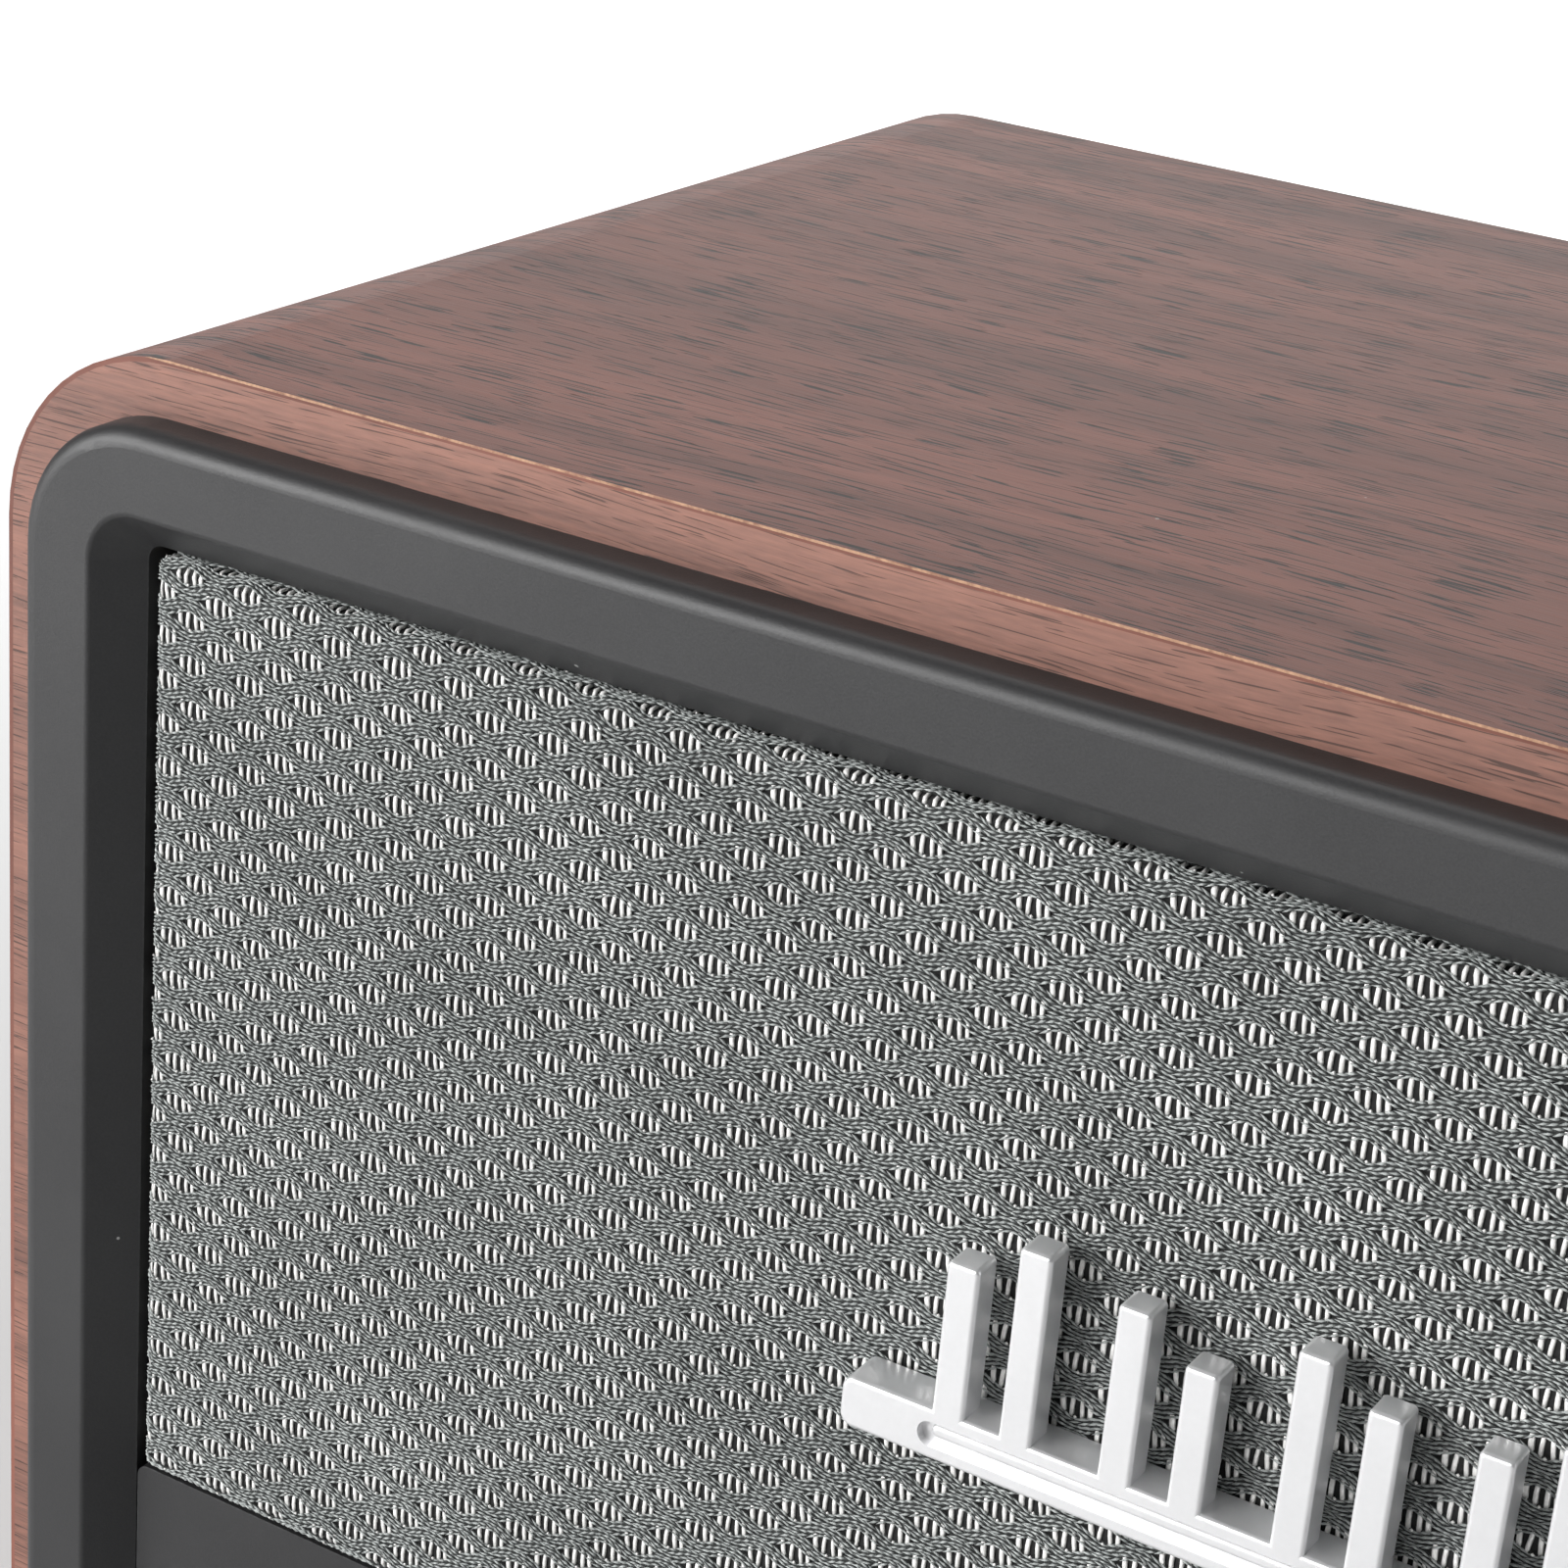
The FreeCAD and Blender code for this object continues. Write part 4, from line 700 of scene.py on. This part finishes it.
def makeGround(material):
    # the flat bed of yarn under each band of stitches, coloured near black as painted shade in the
    # gaps between the stitches
    span = clothHalf.x + clothSet["turnIn"] + 1 * mm
    u = np.arange(-span, span, clothSet["stitch"])
    points, faces, kept, made = [], [], [], 0
    for number in rowRange():
        for share, lift in clothSet["groundRows"]:
            v, _ = bandLine(number, u, share)
            points.append(wrapPoints(u, v, np.full_like(u, lift * mm)))
            kept.append(overhang(u, v) < clothReach)
        here = np.arange(len(u) - 1) + made
        for row in (here, here + len(u)):
            faces.append(np.stack([row, row + 1, row + 1 + len(u), row + len(u)], axis=-1))
        made += 3 * len(u)
    points, faces, kept = np.concatenate(points), np.concatenate(faces), np.concatenate(kept)
    faces = faces[kept[faces].all(axis=1)]
    used, renumbered = np.unique(faces, return_inverse=True)
    return addPiece("grilleGroundShade", points[used], renumbered.reshape(faces.shape), material)


strandFaces = [(0, 1, 5, 4), (1, 2, 6, 5), (2, 3, 7, 6), (3, 0, 4, 7), (4, 5, 9, 8), (5, 6, 10, 9),
               (6, 7, 11, 10), (7, 4, 8, 11), (3, 2, 1, 0), (8, 9, 10, 11)]


def eyeCentres(random):
    start, level = clothSet["anchor"][0] - clothMiddle.x, clothSet["anchor"][1] - clothMiddle.z
    across = math.ceil(2 * clothHalf.x / clothSet["cell"]) + 2
    found = []
    for number in rowRange():
        first = (number % 2) / 2 + clothSet["lean"] * clothSet["row"] * number / clothSet["cell"]
        u = start + (np.arange(-across, across) + first) * clothSet["cell"]
        v = level - clothSet["row"] * number - clothSet["slope"] * (u - start)
        found.append(np.stack([u, v], axis=-1))
    centres = np.concatenate(found)
    centres = centres + random.normal(0, clothSet["eyeLoose"], centres.shape)
    return centres[overhang(centres[:, 0], centres[:, 1]) < clothReach]


def makeStrands(material, random):
    centres = eyeCentres(random)
    u, v = centres[:, 0], centres[:, 1]
    high = clothSet["strandHalf"]
    batches = []
    for top, bottom, half in clothSet["strands"]:
        width = half * mm * random.uniform(*clothSet["strandLoose"], len(u))
        tilt = random.normal(0, clothSet["tiltLoose"], len(u))
        rings = []
        for along, lift in ((1.0, 0.04), (0.0, 0.16), (-1.0, 0.04)):
            middle = u + ((top + bottom) / 2 + along * (top - bottom) / 2) * mm + along * tilt
            for side, rise in ((-1.0, -0.03), (-0.6, 0.13), (0.6, 0.13), (1.0, -0.03)):
                lifted = (lift + rise) * mm
                rings.append(wrapPoints(middle + side * width, v + along * high, lifted))
        batches.append(np.stack(rings, axis=1).reshape(-1, 3))
    points = np.concatenate(batches)
    faces = copies(strandFaces, len(points) // 12, 12)
    strands = addPiece("grilleStrands", points, faces, material)
    across, down, size = clothSet["knot"]
    points = lobes(u + across, v + down, np.zeros_like(u), size, size, size * 0.8,
                   weaveDeep - size * 0.5)
    knots = addPiece("grilleKnots", points, copies(lobeFaces, len(u), 6), material)
    print("eyes", len(u))
    return [strands, knots]


def makeScrim(material):
    # the dark open scrim behind the knit, one closed thin skin rolled round the frame; its
    # near-black colour is partly the backing's own black and partly painted shade of the hollow
    # behind the knit
    corners = []
    arcSteps, flatWide, flatHigh = 6, clothHalf.x - clothSet["roll"], clothHalf.z - clothSet["roll"]
    for sideX, sideZ, base in ((1, 1, 0), (-1, 1, 90), (-1, -1, 180), (1, -1, 270)):
        for number in range(arcSteps + 1):
            angle = math.radians(base + 90 * number / arcSteps)
            corners.append((sideX * flatWide, sideZ * flatHigh, math.cos(angle), math.sin(angle)))
    corners = np.array(corners)
    rollLong = clothSet["roll"] * math.pi / 2
    loops = [0.05 * mm] + [rollLong * number / 4 for number in range(1, 5)]
    loops.append(rollLong + clothSet["turnIn"])
    rings = []
    for thick in (0, -clothSet["scrimThick"]):
        for over in (loops if thick == 0 else loops[::-1]):
            rings.append(wrapPoints(corners[:, 0] + over * corners[:, 2],
                                    corners[:, 1] + over * corners[:, 3], thick))
    count = len(corners)
    faces = []
    for ring in range(len(rings) - 1):
        for number in range(count):
            following = (number + 1) % count
            a, b = ring * count, (ring + 1) * count
            faces.append((a + number, b + number, b + following, a + following))
    mesh = bpy.data.meshes.new("grilleScrimShade")
    last = (len(rings) - 1) * count
    faces.append(tuple(range(count)))
    faces.append(tuple(range(last + count - 1, last - 1, -1)))
    mesh.from_pydata(np.concatenate(rings).tolist(), [], faces)
    piece = finishPiece(mesh, material)
    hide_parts("grille_cloth")
    return piece


yarnSet = {
    "greyYarn": {"dark": (0.180, 0.196, 0.192), "light": (0.50, 0.527, 0.516), "rough": 0.55,
                 "sheen": 0.2},
    # the ground yarn is near black as painted shade: it darkens the gaps between the stitches,
    # where grey yarn lies in shade
    "groundShadeYarn": {"dark": (0.010, 0.011, 0.011), "light": (0.030, 0.033, 0.032), "rough": 0.7,
                   "sheen": 0.1},
    "silverYarn": {"dark": (0.74, 0.73, 0.71), "light": (0.97, 0.96, 0.94), "rough": 0.35,
                   "sheen": 0.1, "metallic": 0.1},
    # the scrim yarn is darker than black cloth: partly the backing's own black, partly painted
    # shade of the hollow behind the knit
    "scrimShadeYarn": {"dark": (0.003, 0.003, 0.003), "light": (0.012, 0.012, 0.012), "rough": 0.8,
                  "sheen": 0.0},
}


def makeCloth():
    random = np.random.default_rng(clothSet["seed"])
    grey, groundShade, silver, dark = (yarnMaterial(name, **values) for name, values in yarnSet.items())
    knit = makeBands(grey, random)
    knit.append(makeGround(groundShade))
    eyes = makeStrands(silver, random)
    scrim = makeScrim(dark)


makeCloth()


# Ribbed knobs

knobSet = {
    "ribs": 60, "ribDeep": 0.55 * mm, "perRib": 6,
    # radius, distance from the tip and whether the ribs reach there, round the knob's section
    "section": [(3.0, 1.2, 0), (13.0, 1.2, 0), (13.0, 0.10, 0), (13.15, 0.04, 0), (14.3, 0.04, 0),
                (14.9, 0.15, 0), (15.6, 0.8, 0.6), (15.98, 1.6, 1), (15.98, 12.4, 1),
                (15.6, 12.9, 0.6), (15.0, 13.1, 0), (10.5, 13.1, 0), (10.5, 8.0, 0), (3.0, 8.0, 0)],
    # the pointer: inner and outer end, width, how proud it stands and how deep it sits
    "mark": (13.5, 14.8, 0.9, 0.005, 0.4),
    "finish": {"dark": (0.022, 0.022, 0.023), "light": (0.036, 0.036, 0.037), "rough": 0.38,
               "grainScale": 5200.0, "bump": 0.3},
}


def makeKnob(label, body, material, markMaterial):
    low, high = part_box(label + "_knob")
    middle = (low + high) / 2
    count = knobSet["ribs"] * knobSet["perRib"]
    angle = np.arange(count) * 2 * math.pi / count
    groove = knobSet["ribDeep"] * (0.5 - 0.5 * np.cos(knobSet["ribs"] * angle))
    rings = []
    for radius, depth, ribbed in knobSet["section"]:
        reach = radius * mm - groove * ribbed
        rings.append(np.stack([middle.x + reach * np.sin(angle), np.full(count, low.y + depth * mm),
                               middle.z + reach * np.cos(angle)], axis=-1))
    here = np.arange(count)
    after = (here + 1) % count
    faces = []
    for ring in range(len(rings)):
        a, b = ring * count, (ring + 1) % len(rings) * count
        faces.append(np.stack([a + here, b + here, b + after, a + after], axis=-1))
    knob = addPiece(label + "RibbedKnob", np.concatenate(rings), np.concatenate(faces), material,
                    body, smooth=False)
    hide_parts(label + "_knob")
    inner, outer, wide, front, back = (value * mm for value in knobSet["mark"])
    left, right = middle.x - wide / 2, middle.x + wide / 2
    shape = [(left, middle.z + inner), (right, middle.z + inner), (right, middle.z + outer),
             (left, middle.z + outer)]
    addPlates(label + "Pointer", [shape], low.y + front, low.y + back, markMaterial, body)


# Printed marks on the panel and the buttons, and the clock behind the window

printSet = {
    "thick": 0.05 * mm, "ring": 19.2 * mm, "sweep": 150, "dots": 11,
    "smallDot": 0.28 * mm, "largeDot": 0.62 * mm,
    "powerRing": (1.1 * mm, 1.4 * mm), "powerStroke": (0.9 * mm, 0.3 * mm, 1.1 * mm),
    "finish": {"dark": (0.50, 0.50, 0.49), "light": (0.72, 0.72, 0.71), "rough": 0.5,
               "grainScale": 2600.0, "bump": 0.3, "dusty": 0.0, "wear": 0.0},
}


def disc(x, z, radius, sides=14):
    turns = [2 * math.pi * number / sides for number in range(sides)]
    return [(x + radius * math.cos(turn), z + radius * math.sin(turn)) for turn in turns]


def bar(x, z, wide, high):
    left, right, low, high = x - wide / 2, x + wide / 2, z - high / 2, z + high / 2
    return [(left, low), (right, low), (right, high), (left, high)]


def makePanelMarks(material):
    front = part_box("control_panel")[0].y
    shapes = []
    for label in ("volume", "tuning"):
        low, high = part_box(label + "_knob")
        middle = (low + high) / 2
        for number in range(printSet["dots"]):
            share = number / (printSet["dots"] - 1)
            turn = math.radians(printSet["sweep"] * (2 * share - 1))
            growth = share if label == "volume" else 0.4
            radius = printSet["smallDot"] + growth * (printSet["largeDot"] - printSet["smallDot"])
            shapes.append(disc(middle.x + printSet["ring"] * math.sin(turn),
                               middle.z + printSet["ring"] * math.cos(turn), radius))
    addPlates("panelDots", shapes, front - printSet["thick"], front + printSet["thick"], material)


def powerMark(x, z):
    # an open ring of short pieces with a stroke through its gap
    turns = [math.radians(angle) for angle in range(-225, 46, 30)]
    inner, outer = printSet["powerRing"]
    rise, wide, high = printSet["powerStroke"]
    shapes = [bar(x, z + rise, wide, high)]
    for first, last in zip(turns, turns[1:]):
        corners = ((inner, first), (outer, first), (outer, last), (inner, last))
        shapes.append([(x + radius * math.cos(turn), z + radius * math.sin(turn))
                       for radius, turn in corners])
    return shapes


def makeButtonMarks(material):
    drawings = {
        "standby": powerMark,
        "source": lambda x, z: [[(x - 1.0 * mm, z - 1.2 * mm), (x + 1.3 * mm, z),
                                 (x - 1.0 * mm, z + 1.2 * mm)]],
        "preset": lambda x, z: [disc(x + side * mm, z, 0.42 * mm) for side in (-1.7, 0, 1.7)],
        "menu": lambda x, z: [bar(x, z + rise * mm, 3.6 * mm, 0.35 * mm) for rise in (-1, 0, 1)],
    }
    for label, draw in drawings.items():
        low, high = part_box("button_" + label)
        middle = (low + high) / 2
        addPlates(label + "Mark", draw(middle.x, middle.z), low.y - printSet["thick"],
                  low.y + printSet["thick"], material, label + "_key")


clockSet = {
    "high": 12 * mm, "wide": 6.4 * mm, "line": 1.3 * mm, "gap": 0.2 * mm, "pitch": 10.4 * mm,
    "shown": "1024", "thick": 0.1 * mm, "colonShift": 1.5 * mm, "dot": 0.8 * mm,
    "dotRise": 2.6 * mm, "behind": 0.02 * mm,
}


def segment(x, z, long, across):
    # one six-sided stroke of a digit, lying along x or standing along z
    half, line = long / 2 - clockSet["gap"], clockSet["line"] / 2
    outline = [(-half, 0), (-half + line, -line), (half - line, -line), (half, 0),
               (half - line, line), (-half + line, line)]
    return [(x + a, z + b) if across else (x - b, z + a) for a, b in outline]


def makeClock(material):
    low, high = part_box("display_lens")
    middle = (low + high) / 2
    lit = {"0": "abcdef", "1": "bc", "2": "abged", "4": "fgbc"}
    side, half = clockSet["wide"] / 2, clockSet["high"] / 2
    strokes = {"a": (0, half, True), "b": (side, half / 2, False), "c": (side, -half / 2, False),
               "d": (0, -half, True), "e": (-side, -half / 2, False), "f": (-side, half / 2, False),
               "g": (0, 0, True)}
    shapes = []
    for number, digit in enumerate(clockSet["shown"]):
        shift = clockSet["colonShift"] if number > 1 else -clockSet["colonShift"]
        x = middle.x + (number - 1.5) * clockSet["pitch"] + shift
        for letter in lit[digit]:
            sideways, upright, across = strokes[letter]
            long = clockSet["wide"] if across else half
            shapes.append(segment(x + sideways, middle.z + upright, long, across))
    shapes += [disc(middle.x, middle.z + way * clockSet["dotRise"], clockSet["dot"])
               for way in (-1, 1)]
    addPlates("clockDigits", shapes, high.y - clockSet["thick"], high.y - clockSet["behind"],
              material)


def makeControls():
    ribbed = mouldedMaterial("ribbedPlastic", **knobSet["finish"])
    printing = mouldedMaterial("whitePrint", **printSet["finish"])
    makeKnob("volume", "volume_dial", ribbed, printing)
    makeKnob("tuning", "tuning_dial", ribbed, printing)
    makePanelMarks(printing)
    makeButtonMarks(printing)
    makeClock(glowMaterial())
    print("knobs and marks made")


makeControls()


# Camera, floor and light

cameraSet = {
    "place": (0.07768, -0.33562, 0.29782),
    "azimuth": 29.82, "elevation": 22.77, "roll": 4.93,
    "lens": 84.69, "sensor": 36, "nearest": 0.01,
}


def makeCamera():
    azimuth, elevation, roll = (math.radians(cameraSet[name])
                                for name in ("azimuth", "elevation", "roll"))
    forward = Vector((-math.sin(azimuth) * math.cos(elevation),
                      math.cos(azimuth) * math.cos(elevation), -math.sin(elevation)))
    side = forward.cross(Vector((0, 0, 1))).normalized()
    right = side * math.cos(roll) + side.cross(forward) * math.sin(roll)
    up = right.cross(forward)
    data = bpy.data.cameras.new("studioCamera")
    data.lens, data.sensor_width = cameraSet["lens"], cameraSet["sensor"]
    data.clip_start = cameraSet["nearest"]
    camera = bpy.data.objects.new("studioCamera", data)
    bpy.context.scene.collection.objects.link(camera)
    turned = Matrix((right, up, -forward)).transposed().to_4x4()
    camera.matrix_world = Matrix.Translation(cameraSet["place"]) @ turned
    bpy.context.scene.camera = camera


studioSet = {
    # name: place, aimed at, width and height, power in watts
    "key": ((-1.0, -1.05, 0.50), (-0.05, -0.1, 0.12), (1.2, 0.8), 27),
    "front": ((-0.35, -1.5, 0.90), (0, -0.1, 0.12), (1.2, 0.9), 8),
    "top": ((-0.2, 0.75, 1.45), (0, 0, 0.18), (1.4, 1.0), 14),
    "back": ((-0.7, 1.6, 0.50), (0, 0, 0.19), (2.2, 0.5), 4.5),
}
worldSet = {"ambient": 0.06, "seen": 1.05, "floorHalf": 4.0, "glowFrom": 0.25, "glowTo": 1.1}


def makeLights():
    for name, (place, aim, size, power) in studioSet.items():
        data = bpy.data.lights.new(name + "Light", "AREA")
        data.shape = "RECTANGLE"
        data.size, data.size_y = size
        data.energy = power
        lamp = bpy.data.objects.new(name + "Light", data)
        lamp.location = place
        lamp.rotation_euler = (Vector(aim) - Vector(place)).to_track_quat("-Z", "Y").to_euler()
        bpy.context.scene.collection.objects.link(lamp)
    world = bpy.data.worlds.new("studioWorld")
    world.use_nodes = True
    tree = world.node_tree
    seen = step(tree, "LightPath").outputs["Is Camera Ray"]
    strength = window(tree, seen, 0, 1, worldSet["ambient"], worldSet["seen"])
    feed(tree.nodes["Background"], {"Color": rgb(1, 1, 1), "Strength": strength})
    bpy.context.scene.world = world
    bpy.context.scene.view_settings.view_transform = "Standard"


def makeFloor():
    material, tree, shader, place = startMaterial("paleFloor", Roughness=0.7)
    mottle = noise(tree, place, 3.0, 2.0)
    feed(shader, {"Base Color": paint(tree, mottle, rgb(0.60, 0.60, 0.60), rgb(0.64, 0.64, 0.64))})
    away = step(tree, "VectorMath", place, operation="LENGTH").outputs["Value"]
    glow = window(tree, away, worldSet["glowFrom"], worldSet["glowTo"])
    seen = step(tree, "LightPath").outputs["Is Camera Ray"]
    shine = paint(tree, calc(tree, "MULTIPLY", glow, seen), rgb(0, 0, 0), rgb(1, 1, 1))
    feed(shader, {"Emission Color": shine, "Emission Strength": worldSet["seen"]})
    half = worldSet["floorHalf"]
    mesh = bpy.data.meshes.new("floor")
    mesh.from_pydata([(-half, -half, 0), (half, -half, 0), (half, half, 0), (-half, half, 0)], [],
                     [(0, 1, 2, 3)])
    mesh.materials.append(material)
    floor = bpy.data.objects.new("floor", mesh)
    bpy.context.scene.collection.objects.link(floor)


makeCamera()
makeLights()
makeFloor()
print("studio ready")
